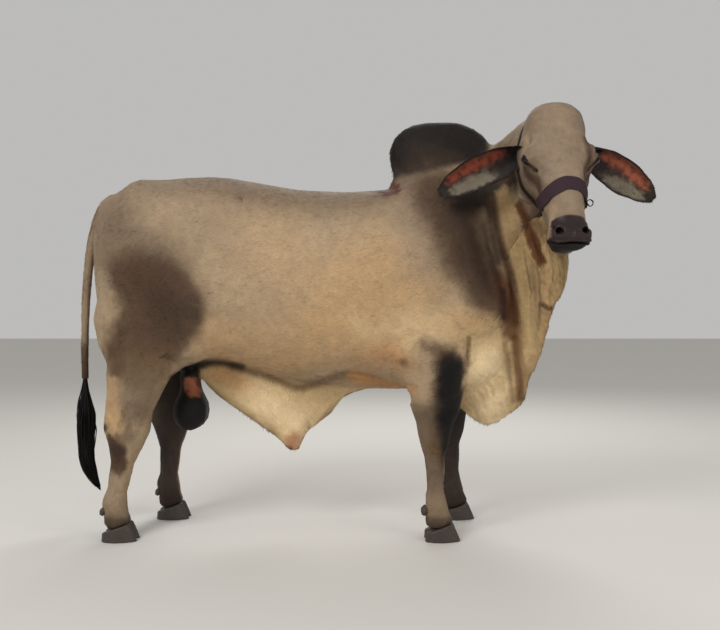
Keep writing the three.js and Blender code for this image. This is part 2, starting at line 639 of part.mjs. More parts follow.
// The skin that hangs from the throat to the brisket, in ribs from its root to its free edge
const dewlapRibs = [
  { root: [752, -480, 1225], edge: [762, -545, 1152], fat: 26, thin: 10 },
  { root: [750, -430, 1280], edge: [784, -455, 1085], fat: 44, thin: 14 },
  { root: [742, -370, 1310], edge: [793, -380, 1005], fat: 58, thin: 17 },
  { root: [732, -300, 1300], edge: [776, -312, 958], fat: 72, thin: 20 },
  { root: [712, -230, 1240], edge: [766, -240, 885], fat: 96, thin: 22 },
  { root: [676, -150, 1150], edge: [758, -180, 806], fat: 126, thin: 24 },
  { root: [636, -90, 1060], edge: [738, -115, 705], fat: 150, thin: 28 },
  { root: [596, -50, 980], edge: [704, -65, 620], fat: 170, thin: 34 },
  { root: [560, -25, 900], edge: [700, -35, 545], fat: 172, thin: 42 },
  { root: [515, -10, 830], edge: [640, -10, 484], fat: 150, thin: 46 },
  { root: [470, 0, 790], edge: [545, 0, 434], fat: 108, thin: 44 },
  { root: [420, 0, 760], edge: [452, 0, 492], fat: 86, thin: 34 },
  { root: [360, 0, 740], edge: [380, 0, 560], fat: 62, thin: 24 },
  { root: [290, 0, 720], edge: [300, 0, 596], fat: 40, thin: 16 },
];
const sheathRibs = [
  { root: [-690, 0, 790], edge: [-667, 0, 618], fat: 36, thin: 18 },
  { root: [-640, 0, 770], edge: [-609, 0, 563], fat: 54, thin: 22 },
  { root: [-560, 0, 750], edge: [-510, 0, 492], fat: 76, thin: 25 },
  { root: [-480, 0, 735], edge: [-424, 0, 432], fat: 88, thin: 28 },
  { root: [-410, 0, 720], edge: [-352, 0, 380], fat: 90, thin: 32 },
  { root: [-350, 0, 710], edge: [-298, 0, 328], fat: 86, thin: 36 },
  { root: [-300, 0, 700], edge: [-258, 0, 334], fat: 80, thin: 34 },
  { root: [-245, 0, 690], edge: [-226, 0, 412], fat: 74, thin: 28 },
  { root: [-200, 0, 685], edge: [-178, 0, 446], fat: 70, thin: 24 },
  { root: [-140, 0, 680], edge: [-120, 0, 492], fat: 62, thin: 22 },
  { root: [-80, 0, 675], edge: [-74, 0, 556], fat: 52, thin: 20 },
  { root: [0, 0, 670], edge: [0, 0, 588], fat: 42, thin: 18 },
  { root: [90, 0, 665], edge: [94, 0, 604], fat: 30, thin: 14 },
];

// The halter: a band round the nose, and a strap up each cheek that meets over the crown
const NOSEBAND = { width: 54, thick: 5, closed: true };
const CROWN = { width: 28, thick: 4.5 };
const noseRays = Array.from({ length: 26 }, (_, i) => {
  const angle = (i / 26) * 2 * Math.PI;
  const from = head(352 + 25 * (1 - Math.cos(angle)), 0, -90);
  const ray = FACE_LEFT.clone().multiplyScalar(Math.sin(angle)).addScaledVector(FACE_OUT, Math.cos(angle));
  return { from, ray };
});
const cheekLine = [
  [362, -127],
  [320, -138],
  [275, -148],
  [230, -156],
  [185, -162],
  [140, -166],
];
const crownRays = [
  ...cheekLine.map(([u, w]) => ({ from: head(u, 0, w), ray: FACE_LEFT.clone() })),
  ...[0, 22, 45, 68, 90, 112, 135, 158, 180].map((turn) => {
    const angle = THREE.MathUtils.degToRad(turn);
    const ray = FACE_LEFT.clone().multiplyScalar(Math.cos(angle)).addScaledVector(UP, Math.sin(angle));
    return { from: head(92, 0, -168), ray };
  }),
  ...cheekLine.map(([u, w]) => ({ from: head(u, 0, w), ray: FACE_LEFT.clone().negate() })).reverse(),
];
const torsoRoom = torsoUncut(grown(torsoField));
const neckRoom = neckUncut(grown(wholeField));
const headRoom = headUncut(grown(wholeField));
const clearOf = (made, ...rooms) => rooms.reduce((left, room) => left.subtract(room), made);

const underNoseband = leaving(headRoom);
const underCrown = leaving(headRoom.add(neckRoom));
const nosebandRoom = strap(underNoseband, noseRays, { ...NOSEBAND, grow: GAP });
const crownRoom = strap(underCrown, crownRays, { ...CROWN, grow: GAP });
put('halter_noseband', clearOf(strap(underNoseband, noseRays, NOSEBAND), headRoom), STRAP);
put('halter_crown', clearOf(strap(underCrown, crownRays, CROWN), nosebandRoom, headRoom, neckRoom), STRAP);

const dewlapRaw = solid(drape(dewlapRibs, { rows: 26, across: 6, ripple: 9, waves: 2.2 }));
put('dewlap', clearOf(dewlapRaw, torsoRoom, neckRoom, headRoom, nosebandRoom), COAT);
const purse = flesh([
  on(egg(V(-724, -40, 502), [76, 52, 82], [0, 8, 0])),
  on(egg(V(-724, 40, 502), [76, 52, 82], [0, 8, 0]), 24),
  on(limb(V(-724, 0, 560), V(-730, 0, 740), 44, 46), 60),
]);
const pursePath = new THREE.LineCurve3(V(-724, 0, 500), V(-730, 0, 700));
const purseUncut = (field) =>
  solid(wrap(field, pursePath, { rings: 6, around: 14, fan: 3, reach: 200, up: V(1, 0, 0) }));
put('scrotum', clearOf(purseUncut(purse), torsoRoom), DARK_COAT);
const sheathRaw = solid(drape(sheathRibs, { rows: 20, across: 4 }));
put('sheath', clearOf(sheathRaw, torsoRoom, purseUncut(grown(purse))), COAT);

// The tail and its switch
const tailStations = [
  [-945, 0, 1372, 28, 28],
  [-1018, 0, 1404, 36, 40],
  [-1070, 0, 1390, 34, 36],
  [-1109, 0, 1340, 29, 31],
  [-1133, 0, 1274, 25, 28],
  [-1153, 0, 1186, 22, 24],
  [-1170, 0, 1040, 20, 21],
  [-1178, 0, 890, 18, 19],
  [-1181, 0, 744, 17, 17],
  [-1178, 0, 640, 16, 16],
  [-1176, 0, 600, 16, 16],
];
put('tail', keep(clearOf(solid(cord(tailStations, 18, 8)), torsoRoom), V(0, 0, 1), V(0, 0, 640)), COAT);

// Legs and hooves
const SOLE_SLOPE = V(-0.335, 0, 0.942).normalize();
function legShape(points, side, size) {
  const path = new THREE.CatmullRomCurve3(points);
  const past = (p) => (p.x > -400 ? -Infinity : beyond(HIND_FRONT, p) - 60);
  const own = (p) => Math.max(bodyField(p), GAP / 2 - side * p.y, past(p));
  return solid(wrap(own, path, { ...size, fan: 2, flatStart: true, reach: 380, up: V(1, 0, 0) }));
}

// One claw: a flat sole, walls that lean back from the toe, and a top on the coronet's slope
function claw(centre, side, inner) {
  const layers = [0, 0.12, 0.55, 1];
  const around = 12;
  const top = (x) => (SOLE_SLOPE.z * centre.z - SOLE_SLOPE.x * (x - centre.x)) / SOLE_SLOPE.z - GAP / 2;
  const sections = layers.map((share) =>
    Array.from({ length: around }, (_, j) => {
      const angle = (j / around) * 2 * Math.PI;
      const [c, s] = [Math.cos(angle), Math.sin(angle)];
      const reach = 66 + (c > 0 ? 14 * c : 0) - share * (c > 0 ? 26 * c : 8);
      const x = centre.x - 2 - share * 6 + c * reach;
      const wide = (30 - 9 * Math.max(c, 0) ** 2 - share * 1.5) * (s * inner > 0 ? 0.96 : 1.08);
      const y = centre.y + inner * -32 + s * wide + inner * 4 * Math.max(c, 0);
      return V(x, y, share === 0 ? 0 : share * top(x));
    }),
  );
  return solid(skin(sections, [middle(sections[0]), middle(sections.at(-1))]));
}

for (const [name, side] of Object.entries(SIDES)) {
  const f = fore[name];
  const h = hind[name];
  const foreTop = mix(f.forearm, f.knee, (f.forearm.z - FORELEG_TOP + GAP / 2) / (f.forearm.z - f.knee.z));
  const thigh = V(side > 0 ? -858 : -884, side * 165, 0);
  thigh.z = HIND_CUT.point.z - ((thigh.x - HIND_CUT.point.x) * HIND_CUT.normal.x) / HIND_CUT.normal.z;
  thigh.addScaledVector(HIND_CUT.normal, 30);
  const legs = {
    front: {
      marks: f,
      points: [foreTop, foreTop.clone().add(V(0, 0, -60)), f.knee, f.cannon, f.fetlock, f.coronet],
      size: { rings: 13, around: 14 },
    },
    hind: {
      marks: h,
      points: [
        thigh,
        thigh.clone().addScaledVector(HIND_CUT.normal, -120),
        h.gaskin.clone().add(V(-46, 0, -10)),
        h.hock.clone().add(V(-14, 0, 0)),
        h.cannon,
        h.fetlock,
        h.coronet,
      ],
      size: { rings: 16, around: 18 },
    },
  };
  for (const [end, { marks, points, size }] of Object.entries(legs)) {
    const hoof = marks.coronet.clone().add(V(-8, 0, -12));
    const uncut = legShape(points, side, size);
    const cuts = end === 'hind' ? [HIND_FRONT, HIND_CUT] : [];
    const trimmed = cuts.reduce((left, cut) => keep(left, flip(cut.normal), cut.point), uncut);
    const leg = keep(trimmed, SOLE_SLOPE, hoof);
    put(`leg_${end}_${name}`, leg, COAT);
    for (const [place, inner] of Object.entries({ inner: side, outer: -side })) {
      put(`claw_${end}_${name}_${place}`, claw(hoof, side, inner), HORN, 0.5);
      const spur = marks.fetlock.clone().add(V(-42, -inner * 20, -22));
      const dew = solid(bead(spur.toArray(), [15, 12, 22], [0, 24, 0], [6, 5]));
      put(`dewclaw_${end}_${name}_${place}`, clearOf(dew, leg.translate([-GAP, 0, 0])), HORN, 0.5);
    }
  }
}

// The ears: leaves that are cupped towards the face's side, drawn in to a tube at the root
const earTips = {
  right: V(320, -308, 1406),
  left: V(1169, -259, 1386),
};
const earOutline = stationCurve(
  [
    { t: 0, wide: 60, cup: 40, thick: 15 },
    { t: 0.14, wide: 82, cup: 44, thick: 11 },
    { t: 0.3, wide: 118, cup: 40, thick: 8 },
    { t: 0.5, wide: 134, cup: 32, thick: 7 },
    { t: 0.7, wide: 122, cup: 24, thick: 6.5 },
    { t: 0.86, wide: 88, cup: 15, thick: 6 },
    { t: 0.96, wide: 48, cup: 7, thick: 5 },
    { t: 1, wide: 22, cup: 3, thick: 4 },
  ],
  't',
);
function ear(side, tip) {
  const root = head(138, side * 96, -124);
  const bend = root.clone().lerp(tip, 0.5).add(V(0, 0, 26));
  const facing = V(0, -0.93, -0.34).applyAxisAngle(UP, HEAD_YAW);
  const spine = new THREE.QuadraticBezierCurve3(root, bend, tip);
  const rows = [0, 0.1, 0.2, 0.32, 0.44, 0.56, 0.68, 0.78, 0.87, 0.94, 1];
  const half = 4;
  const sections = rows.map((t) => {
    const { wide, cup, thick } = earOutline(t);
    const centre = spine.getPoint(t);
    const along = spine.getTangent(t).normalize();
    const front = facing.clone().addScaledVector(along, -facing.dot(along)).normalize();
    const rise = new THREE.Vector3().crossVectors(along, front).normalize();
    const at = (f, s) => {
      const up = (wide / 2) * Math.sin(f * 1.45) + s * f * thick * 0.3;
      const deep = cup * (0.5 - Math.cos(f * 1.45)) + s * thick * 0.5 * (1 - 0.6 * f ** 4);
      return centre.clone().addScaledVector(rise, up).addScaledVector(front, deep);
    };
    const points = [];
    for (let k = -half; k <= half; k += 1) points.push(at(k / half, -1));
    for (let k = half; k >= -half; k -= 1) points.push(at(k / half, 1));
    return points;
  });
  const spineOf = (points) => middle([points[half], points.at(-half - 1)]);
  return solid(skin(sections, [spineOf(sections[0]), spineOf(sections.at(-1))], true));
}
for (const [name, side] of Object.entries(SIDES)) {
  put(`ear_${name}`, clearOf(ear(side, earTips[name]), headRoom, neckRoom, crownRoom), COAT);
}

// The tail's switch: tapered locks that overlap down a core
function lock(root, tip, out, wide, thick) {
  const middle = root.clone().lerp(tip, 0.45).add(out);
  const curve = new THREE.QuadraticBezierCurve3(root, middle, tip);
  const sections = [0, 0.3, 0.62, 0.86].map((t) => {
    const along = curve.getTangent(t).normalize();
    const across = new THREE.Vector3().crossVectors(along, out).normalize();
    const face = new THREE.Vector3().crossVectors(across, along);
    const size = Math.sin(Math.PI * (0.22 + 0.72 * t));
    const centre = curve.getPoint(t);
    return [
      centre.clone().addScaledVector(across, (wide / 2) * size),
      centre.clone().addScaledVector(face, -(thick / 2) * size),
      centre.clone().addScaledVector(across, (-wide / 2) * size),
      centre.clone().addScaledVector(face, (thick / 2) * size),
    ];
  });
  return solid(skin(sections, [root, tip]));
}
const switchCore = [
  [-1179, 0, 672, 15, 15],
  [-1177, 0, 630, 19, 19],
  [-1175, 0, 560, 26, 25],
  [-1175, 0, 470, 31, 28],
  [-1176, 0, 370, 28, 25],
  [-1168, 0, 270, 22, 19],
  [-1143, 0, 200, 14, 11],
  [-1114, 0, 162, 4, 4],
];
const coreLine = new THREE.CatmullRomCurve3(switchCore.map(([x, y, z]) => V(x, y, z)));
const LOCKS = 24;
let tuft = solid(cord(switchCore, 9, 8));
for (let i = 0; i < LOCKS; i += 1) {
  const start = 0.02 + (i / LOCKS) * 0.62;
  const turn = i * 2.4;
  const out = V(Math.cos(turn), Math.sin(turn), 0);
  const reach = 0.26 + 0.1 * Math.sin(i * 1.7);
  const root = coreLine.getPoint(start).addScaledVector(out, 4);
  const end = start + reach;
  const tip = coreLine.getPoint(Math.min(end, 0.985)).addScaledVector(out, 26 - 24 * end);
  tuft = tuft.add(lock(root, tip, out.clone().multiplyScalar(34 - 24 * start), 30 - 10 * start, 14));
}
const flatTop = keep(tuft, V(0, 0, -1), V(0, 0, 640));
put('tail_switch', flatTop, HORN, 0.9);

const bull = new THREE.Group();
const box = new THREE.Box3();
for (const [name, { made, colour, roughness }] of Object.entries(nodes)) {
  const mesh = new THREE.Mesh(geometryOf(made), new THREE.MeshStandardMaterial({ color: colour, roughness }));
  mesh.name = name;
  bull.add(mesh);
  box.expandByObject(mesh);
}

// The origin is the middle of the bounding box, on the ground
bull.position.set(-(box.min.x + box.max.x) / 2, -(box.min.y + box.max.y) / 2, -box.min.z);

export default bull;
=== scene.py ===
"""A grey humped bull at life size: one hide over its body, with coat, eyes, hooves, tail and halter."""

import logging
import math
from collections.abc import Callable, Sequence
from dataclasses import dataclass, field
from enum import Enum

import bpy
import numpy as np
from mathutils import Matrix, Vector
from mathutils.bvhtree import BVHTree
from mathutils.kdtree import KDTree


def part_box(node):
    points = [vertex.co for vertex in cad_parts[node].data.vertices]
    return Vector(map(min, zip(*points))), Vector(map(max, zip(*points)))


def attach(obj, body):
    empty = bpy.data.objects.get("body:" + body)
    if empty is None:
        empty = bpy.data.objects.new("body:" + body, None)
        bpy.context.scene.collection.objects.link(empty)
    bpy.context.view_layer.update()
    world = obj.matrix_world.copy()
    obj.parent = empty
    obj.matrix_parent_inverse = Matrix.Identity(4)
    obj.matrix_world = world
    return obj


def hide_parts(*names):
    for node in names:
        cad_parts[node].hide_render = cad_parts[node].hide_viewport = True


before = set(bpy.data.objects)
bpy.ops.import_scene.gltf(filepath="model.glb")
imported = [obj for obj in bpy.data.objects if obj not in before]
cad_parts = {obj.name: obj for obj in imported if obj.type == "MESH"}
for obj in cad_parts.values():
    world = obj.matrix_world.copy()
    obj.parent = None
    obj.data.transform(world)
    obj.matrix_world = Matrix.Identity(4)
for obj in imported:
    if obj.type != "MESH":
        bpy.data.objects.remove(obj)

log = logging.getLogger("bull")
MM = 0.001
# One step of the side view, in millimetres at the bull's middle
PIXEL = 4.3
# Corners of a CAD node that are nearer than this, in metres, are one
MERGE = 1e-5
TINT, BARE, DROP = "CoatTint", "Bare", "HairDrop"
Array = np.ndarray
Pair = tuple[float, float]
Triple = tuple[float, float, float]
Line = tuple[tuple[float, ...], ...]
Object, Mesh, Material = bpy.types.Object, bpy.types.Mesh, bpy.types.Material


class Region(Enum):
    """The parts of the body, by the CAD node whose flesh each one is."""

    TORSO = "torso"
    HUMP = "hump"
    NECK = "neck"
    HEAD = "head"
    DEWLAP = "dewlap"
    SHEATH = "sheath"
    SCROTUM = "scrotum"
    TAIL = "tail"
    EAR_RIGHT = "ear_right"
    EAR_LEFT = "ear_left"
    FORE_RIGHT = "leg_front_right"
    FORE_LEFT = "leg_front_left"
    HIND_RIGHT = "leg_hind_right"
    HIND_LEFT = "leg_hind_left"

    @property
    def share(self) -> str:
        """The name under which each place keeps its share of this part."""
        return f"w_{self.value}"


EARS = (Region.EAR_RIGHT, Region.EAR_LEFT)
FORE = (Region.FORE_RIGHT, Region.FORE_LEFT)
HIND = (Region.HIND_RIGHT, Region.HIND_LEFT)
# The parts on which the hair hangs down
HANGING = (*FORE, *HIND, Region.TAIL, Region.DEWLAP, Region.SCROTUM, Region.SHEATH)
REGIONS = tuple(Region)


class Tone(Enum):
    """The colours of the coat and skin, as sRGB hex values."""

    CREAM = "cdb083"
    HONEY = "b98552"
    STRAW = "a78b62"
    BUFF = "b6946b"
    FAWN = "a58e71"
    DUST = "97826a"
    ASH = "83705d"
    TAUPE = "6a5847"
    BRONZE = "664f36"
    UMBER = "4a3627"
    RUST = "5a3218"
    SOOT = "2e211a"
    PLUM = "2a1d1c"
    SLATE = "2c2420"
    BLACK = "0e0b0a"
    RAW = "573124"
    SALMON = "8c402a"
    BLUSH = "a8654a"
    FRINGE = "73695a"
    PEAT = "2c211b"
    COAL = "1c1512"
    IVORY = "f2d8ac"

    @property
    def rgb(self) -> Array:
        """The tone in linear light."""
        return np.array(srgb(self.value)[:3])


def srgb(code: str) -> tuple[float, float, float, float]:
    """Turns an sRGB hex value into a linear colour.

    Args:
        code: Six hex digits.

    Returns:
        Red, green, blue and a full alpha.
    """
    parts = [int(code[i : i + 2], 16) / 255 for i in (0, 2, 4)]
    lin = [c / 12.92 if c <= 0.04045 else ((c + 0.055) / 1.055) ** 2.4 for c in parts]
    return lin[0], lin[1], lin[2], 1.0


def smoothstep(x: Array, low: float, high: float) -> Array:
    """Rises smoothly from 0 at low to 1 at high."""
    t = np.clip((x - low) / (high - low), 0.0, 1.0)
    return t * t * (3 - 2 * t)


def curve_through(points: Sequence[Sequence[float]], steps: int) -> Array:
    """Draws a smooth curve through points.

    Args:
        points: Two or more points of any dimension.
        steps: How many places to give on each span.

    Returns:
        The places in order, the last point included.
    """
    p = np.asarray(points, dtype=float)
    if len(p) == 2:
        t = np.linspace(0, 1, steps + 1)[:, None]
        return p[0] * (1 - t) + p[1] * t
    padded = np.vstack([2 * p[0] - p[1], p, 2 * p[-1] - p[-2]])
    out = []
    for a, b, c, d in zip(padded, padded[1:], padded[2:], padded[3:]):
        slope, bend, twist = c - a, 2 * a - 5 * b + 4 * c - d, 3 * b - a - 3 * c + d
        for t in np.arange(steps) / steps:
            out.append(0.5 * (2 * b + slope * t + bend * t**2 + twist * t**3))
    out.append(p[-1])
    return np.array(out)


def to_line(points: Array, line: Array) -> tuple[Array, Array]:
    """Measures how far points lie from a line of short spans.

    Args:
        points: Places, one to a row.
        line: The line's places, one to a row.

    Returns:
        Each point's distance, and its share of the way along the line.
    """
    spans = np.diff(line, axis=0)
    lengths = np.linalg.norm(spans, axis=1)
    starts = np.concatenate([[0], np.cumsum(lengths)])
    near = np.full(len(points), np.inf)
    share = np.zeros(len(points))
    for a, span, length, start in zip(line[:-1], spans, lengths, starts):
        t = np.clip((points - a) @ span / max(length**2, 1e-9), 0, 1)
        d = np.linalg.norm(points - a - t[:, None] * span, axis=1)
        closer = d < near
        near[closer] = d[closer]
        share[closer] = (start + t[closer] * length) / max(starts[-1], 1e-9)
    return near, share


def waves(points: Array, size: float, seed: int, count: int = 10) -> Array:
    """A soft random field, made of sine waves that cross.

    Args:
        points: Places, one to a row.
        size: The typical size of its patches, in the points' unit.
        seed: Which field it is.
        count: How many waves make it.

    Returns:
        A value of about -1 to 1 for each place.
    """
    rng = np.random.default_rng(seed)
    total = np.zeros(len(points))
    for _ in range(count):
        way = rng.normal(size=points.shape[1])
        way /= np.linalg.norm(way)
        total += np.sin(points @ way * (2 * math.pi / size) * rng.uniform(0.6, 1.6) + rng.uniform(0, 6.3))
    return total / math.sqrt(count)


@dataclass(frozen=True)
class HeadFrame:
    """The head's own millimetres: u down the face from the poll, v to its left, w out of the forehead."""

    poll: Triple = (754.0, -430.0, 1734.0)
    slope: float = 24.0
    yaw: float = 1.0
    roll: float = 1.0

    def axes(self) -> Array:
        """Gives the directions of u, v and w as three rows."""
        turn = Matrix.Rotation(math.radians(self.yaw), 3, "Z")
        s = math.radians(self.slope)
        out = turn @ Vector((0, -math.cos(s), math.sin(s)))
        left = Matrix.Rotation(math.radians(self.roll), 3, out) @ (turn @ Vector((1, 0, 0)))
        return np.array([left.cross(out), left, out])

    def inside(self, points: Array) -> Array:
        """Gives the u, v, w of places."""
        return (points - np.array(self.poll)) @ self.axes().T

    def place(self, spots: Array) -> Array:
        """Gives the places of u, v, w."""
        return np.asarray(spots, dtype=float) @ self.axes() + np.array(self.poll)


@dataclass(frozen=True)
class BodyFrame:
    """The bull's own millimetres: X to its chest from under its barrel, Y to its left, Z up."""

    shift: Triple
    stand_back: float = 4030.0
    lens_height: float = 980.0
    focal: float = 940.0
    middle: Pair = (360.0, 300.0)
    fore_step: float = 104.0
    hind_step: float = 140.0

    @classmethod
    def measured(cls, head: HeadFrame) -> "BodyFrame":
        """Finds the frame from where the CAD model's right eye is."""
        low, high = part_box("eye_right")
        eye = np.array((low + high) / 2) / MM
        shift = eye - head.place(np.array([[218.0, -126.0, -56.0]]))[0]
        return cls(tuple(shift))

    def row(self, points: Array) -> Array:
        """Turns the bull's millimetres into the model's metres."""
        return (np.asarray(points, dtype=float) + np.array(self.shift)) * MM

    def own(self, points: Array) -> Array:
        """Turns the model's metres into the bull's millimetres."""
        return np.asarray(points) / MM - np.array(self.shift)

    def side_view(self, points: Array, left_fore: Array, left_hind: Array) -> Array:
        """Lays places out as they look from the bull's side, its left side folded onto its right.

        Args:
            points: Places in the bull's millimetres.
            left_fore: How much each place belongs to the left foreleg.
            left_hind: How much each place belongs to the left hind leg.

        Returns:
            Across and down, in steps of about 4.3 mm.
        """
        x, y, z = points.T
        # The left legs stand ahead of the right ones by a step that fades out up the leg
        fore = np.interp(z, [438, 560, 712, 742, 965], [1, 0.8, 0.4, 0.25, 0]) * self.fore_step
        hind = np.interp(z, [142, 275, 448, 650, 865, 1180], [1, 0.88, 0.72, 0.55, 0.25, 0]) * self.hind_step
        x = x - fore * left_fore - hind * left_hind
        folded = smoothstep(x, 560, 380)
        y = -np.abs(y) * folded + y * (1 - folded)
        scale = self.focal / (self.stand_back + y)
        return np.stack([self.middle[0] + x * scale, self.middle[1] - (z - self.lens_height) * scale], axis=1)


def select_only(*objects: Object) -> None:
    """Leaves only these objects selected, the first one active."""
    bpy.ops.object.select_all(action="DESELECT")
    for thing in objects:
        thing.select_set(True)
    bpy.context.view_layer.objects.active = objects[0]


def finish_with(thing: Object, kind: str, **settings: object) -> None:
    """Adds a modifier to an object and applies it.

    Args:
        thing: The object.
        kind: The modifier's type.
        **settings: The modifier's own values.
    """
    select_only(thing)
    modifier = thing.modifiers.new(kind.title(), kind)
    for key, value in settings.items():
        setattr(modifier, key, value)
    bpy.ops.object.modifier_apply(modifier=modifier.name)


def from_arrays(name: str, points: Array, faces: list) -> Object:
    """Makes an object from places in metres and faces.

    Args:
        name: The piece's name.
        points: Places in metres, one to a row.
        faces: Corner numbers of each face.

    Returns:
        The object, linked to the scene.
    """
    mesh = bpy.data.meshes.new(name)
    mesh.from_pydata(points.tolist(), [], faces)
    mesh.update()
    thing = bpy.data.objects.new(name, mesh)
    bpy.context.scene.collection.objects.link(thing)
    return thing


def values_of(items: bpy.types.bpy_prop_collection, name: str, wide: int, kind: type = float) -> Array:
    """Reads one property of all of a mesh's items.

    Args:
        items: The mesh's vertices, edges, faces or attribute data.
        name: The property.
        wide: How many numbers it has.
        kind: float or int.

    Returns:
        One row for each item.
    """
    flat = np.empty(len(items) * wide, dtype=np.float32 if kind is float else np.int32)
    items.foreach_get(name, flat)
    return flat.reshape(-1, wide).astype(kind)


def coordinates(mesh: Mesh) -> Array:
    """Reads a mesh's places, one to a row."""
    return values_of(mesh.vertices, "co", 3)


def set_coordinates(mesh: Mesh, points: Array) -> None:
    """Writes a mesh's places."""
    mesh.vertices.foreach_set("co", np.asarray(points, dtype=np.float32).ravel())
    mesh.update()


def normals(mesh: Mesh) -> Array:
    """Reads the directions that a mesh's places face."""
    return values_of(mesh.vertex_normals, "vector", 3)


def put(mesh: Mesh, name: str, values: Array) -> None:
    """Writes one number for each place of a mesh under a name."""
    layer = mesh.attributes.get(name) or mesh.attributes.new(name, "FLOAT", "POINT")
    layer.data.foreach_set("value", np.asarray(values, dtype=np.float32))


def take(mesh: Mesh, name: str) -> Array:
    """Reads the number of each place of a mesh under a name."""
    return values_of(mesh.attributes[name].data, "value", 1)[:, 0]


def put_colour(mesh: Mesh, name: str, colours: Array) -> None:
    """Writes a linear colour for each place of a mesh under a name."""
    layer = mesh.color_attributes.new(name, "FLOAT_COLOR", "POINT")
    full = np.hstack([colours, np.ones((len(colours), 1))])
    layer.data.foreach_set("color", full.astype(np.float32).ravel())


def take_colour(mesh: Mesh, name: str) -> Array:
    """Reads the linear colour of each place of a mesh under a name."""
    return values_of(mesh.color_attributes[name].data, "color", 4)[:, :3]


def mixed(base: Array, tone: Array, amount: Array, strength: float = 1.0) -> Array:
    """Mixes a tone into colours.

    Args:
        base: The colours so far.
        tone: The tone to add.
        amount: How much of it, for each place.
        strength: A share that the amount is taken times.

    Returns:
        The new colours.
    """
    return base * (1 - strength * amount) + tone * strength * amount


def in_edit_mode(thing: Object, operator: Callable, **settings: object) -> None:
    """Runs one operator over the whole of an object's mesh.

    Args:
        thing: The object.
        operator: The mesh operator.
        **settings: Its own values.
    """
    select_only(thing)
    bpy.ops.object.mode_set(mode="EDIT")
    bpy.ops.mesh.select_all(action="SELECT")
    operator(**settings)
    bpy.ops.object.mode_set(mode="OBJECT")


def merged_copy(node: str) -> Object:
    """Copies a CAD node and merges its loose triangles."""
    select_only(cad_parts[node])
    bpy.ops.object.duplicate()
    copy = bpy.context.view_layer.objects.active
    in_edit_mode(copy, bpy.ops.mesh.remove_doubles, threshold=MERGE)
    return copy


def primitive(operator: Callable, name: str, **settings: object) -> Object:
    """Adds a primitive with its place in its mesh.

    Args:
        operator: The primitive's operator.
        name: The piece's name.
        **settings: Its size and place.

    Returns:
        The object, alone selected.
    """
    bpy.ops.object.select_all(action="DESELECT")
    operator(**settings)
    thing = bpy.context.view_layer.objects.active
    thing.name = name
    bpy.ops.object.transform_apply(location=True, rotation=True, scale=True)
    return thing


class Diffusion:
    """Evens out values over a mesh, from neighbour to neighbour."""

    def __init__(self, mesh: Mesh, chosen: Array | None = None) -> None:
        """Reads the mesh's edges.

        Args:
            mesh: The mesh.
            chosen: True for each place that may change, or None for all.
        """
        ends = values_of(mesh.edges, "vertices", 2, int)
        self.where = np.arange(len(mesh.vertices)) if chosen is None else np.nonzero(chosen)[0]
        self.total = len(mesh.vertices)
        if chosen is not None:
            number = np.full(self.total, -1)
            number[self.where] = np.arange(len(self.where))
            ends = number[ends]
            ends = ends[(ends >= 0).all(axis=1)]
        self.count = len(self.where)
        self.here = np.concatenate([ends[:, 0], ends[:, 1]])
        self.there = np.concatenate([ends[:, 1], ends[:, 0]])
        self.near = np.maximum(np.bincount(self.here, minlength=self.count), 1)

    def run(self, values: Array, rate: Array | float, turns: int) -> Array:
        """Moves each value towards its neighbours' mean.

        Args:
            values: One row for each place of the whole mesh.
            rate: How far it moves in a turn, 0 to 1, for each place or for all.
            turns: How many turns.

        Returns:
            The evened values.
        """
        full = np.array(values, dtype=float)
        out = full[self.where]
        rate = np.broadcast_to(np.asarray(rate, dtype=float), (self.total,))[self.where]
        for _ in range(turns):
            for k in range(out.shape[1]):
                mean = np.bincount(self.here, weights=out[self.there, k], minlength=self.count) / self.near
                out[:, k] += rate * (mean - out[:, k])
        full[self.where] = out
        return full


@dataclass
class Skin:
    """What is known of each place on the hide while it is shaped and painted."""

    points: Array
    facing: Array
    weights: Array
    body: BodyFrame
    head: HeadFrame
    view: Array = field(init=False)
    face: Array = field(init=False)

    def __post_init__(self) -> None:
        """Works out the side view and the head's own coordinates."""
        self.view = self.body.side_view(self.points, self.of(Region.FORE_LEFT), self.of(Region.HIND_LEFT))
        self.face = self.head.inside(self.points)

    def of(self, *regions: Region) -> Array:
        """Gives how much each place belongs to some regions."""
        return sum(self.weights[:, REGIONS.index(region)] for region in regions)


@dataclass(frozen=True)
class Swell:
    """A rounded muscle or bone, or a hollow between two, on both sides of the body."""

    at: Triple
    reach: Triple
    high: float
    on_head: bool = False
    regions: tuple[Region, ...] = REGIONS

    def height(self, skin: Skin) -> Array:
        """Gives how far it lifts each place, in millimetres."""
        away = (skin.face if self.on_head else skin.points).copy()
        if self.on_head or self.at[0] < 450:
            away[:, 1] = np.abs(away[:, 1])
        away = (away - np.array(self.at)) / np.array(self.reach)
        lift = self.high * np.exp(-np.sum(away**2, axis=1))
        if self.on_head:
            lift *= smoothstep(skin.of(Region.HEAD), 0.05, 0.5)
        return lift * np.clip(skin.of(*self.regions), 0, 1)


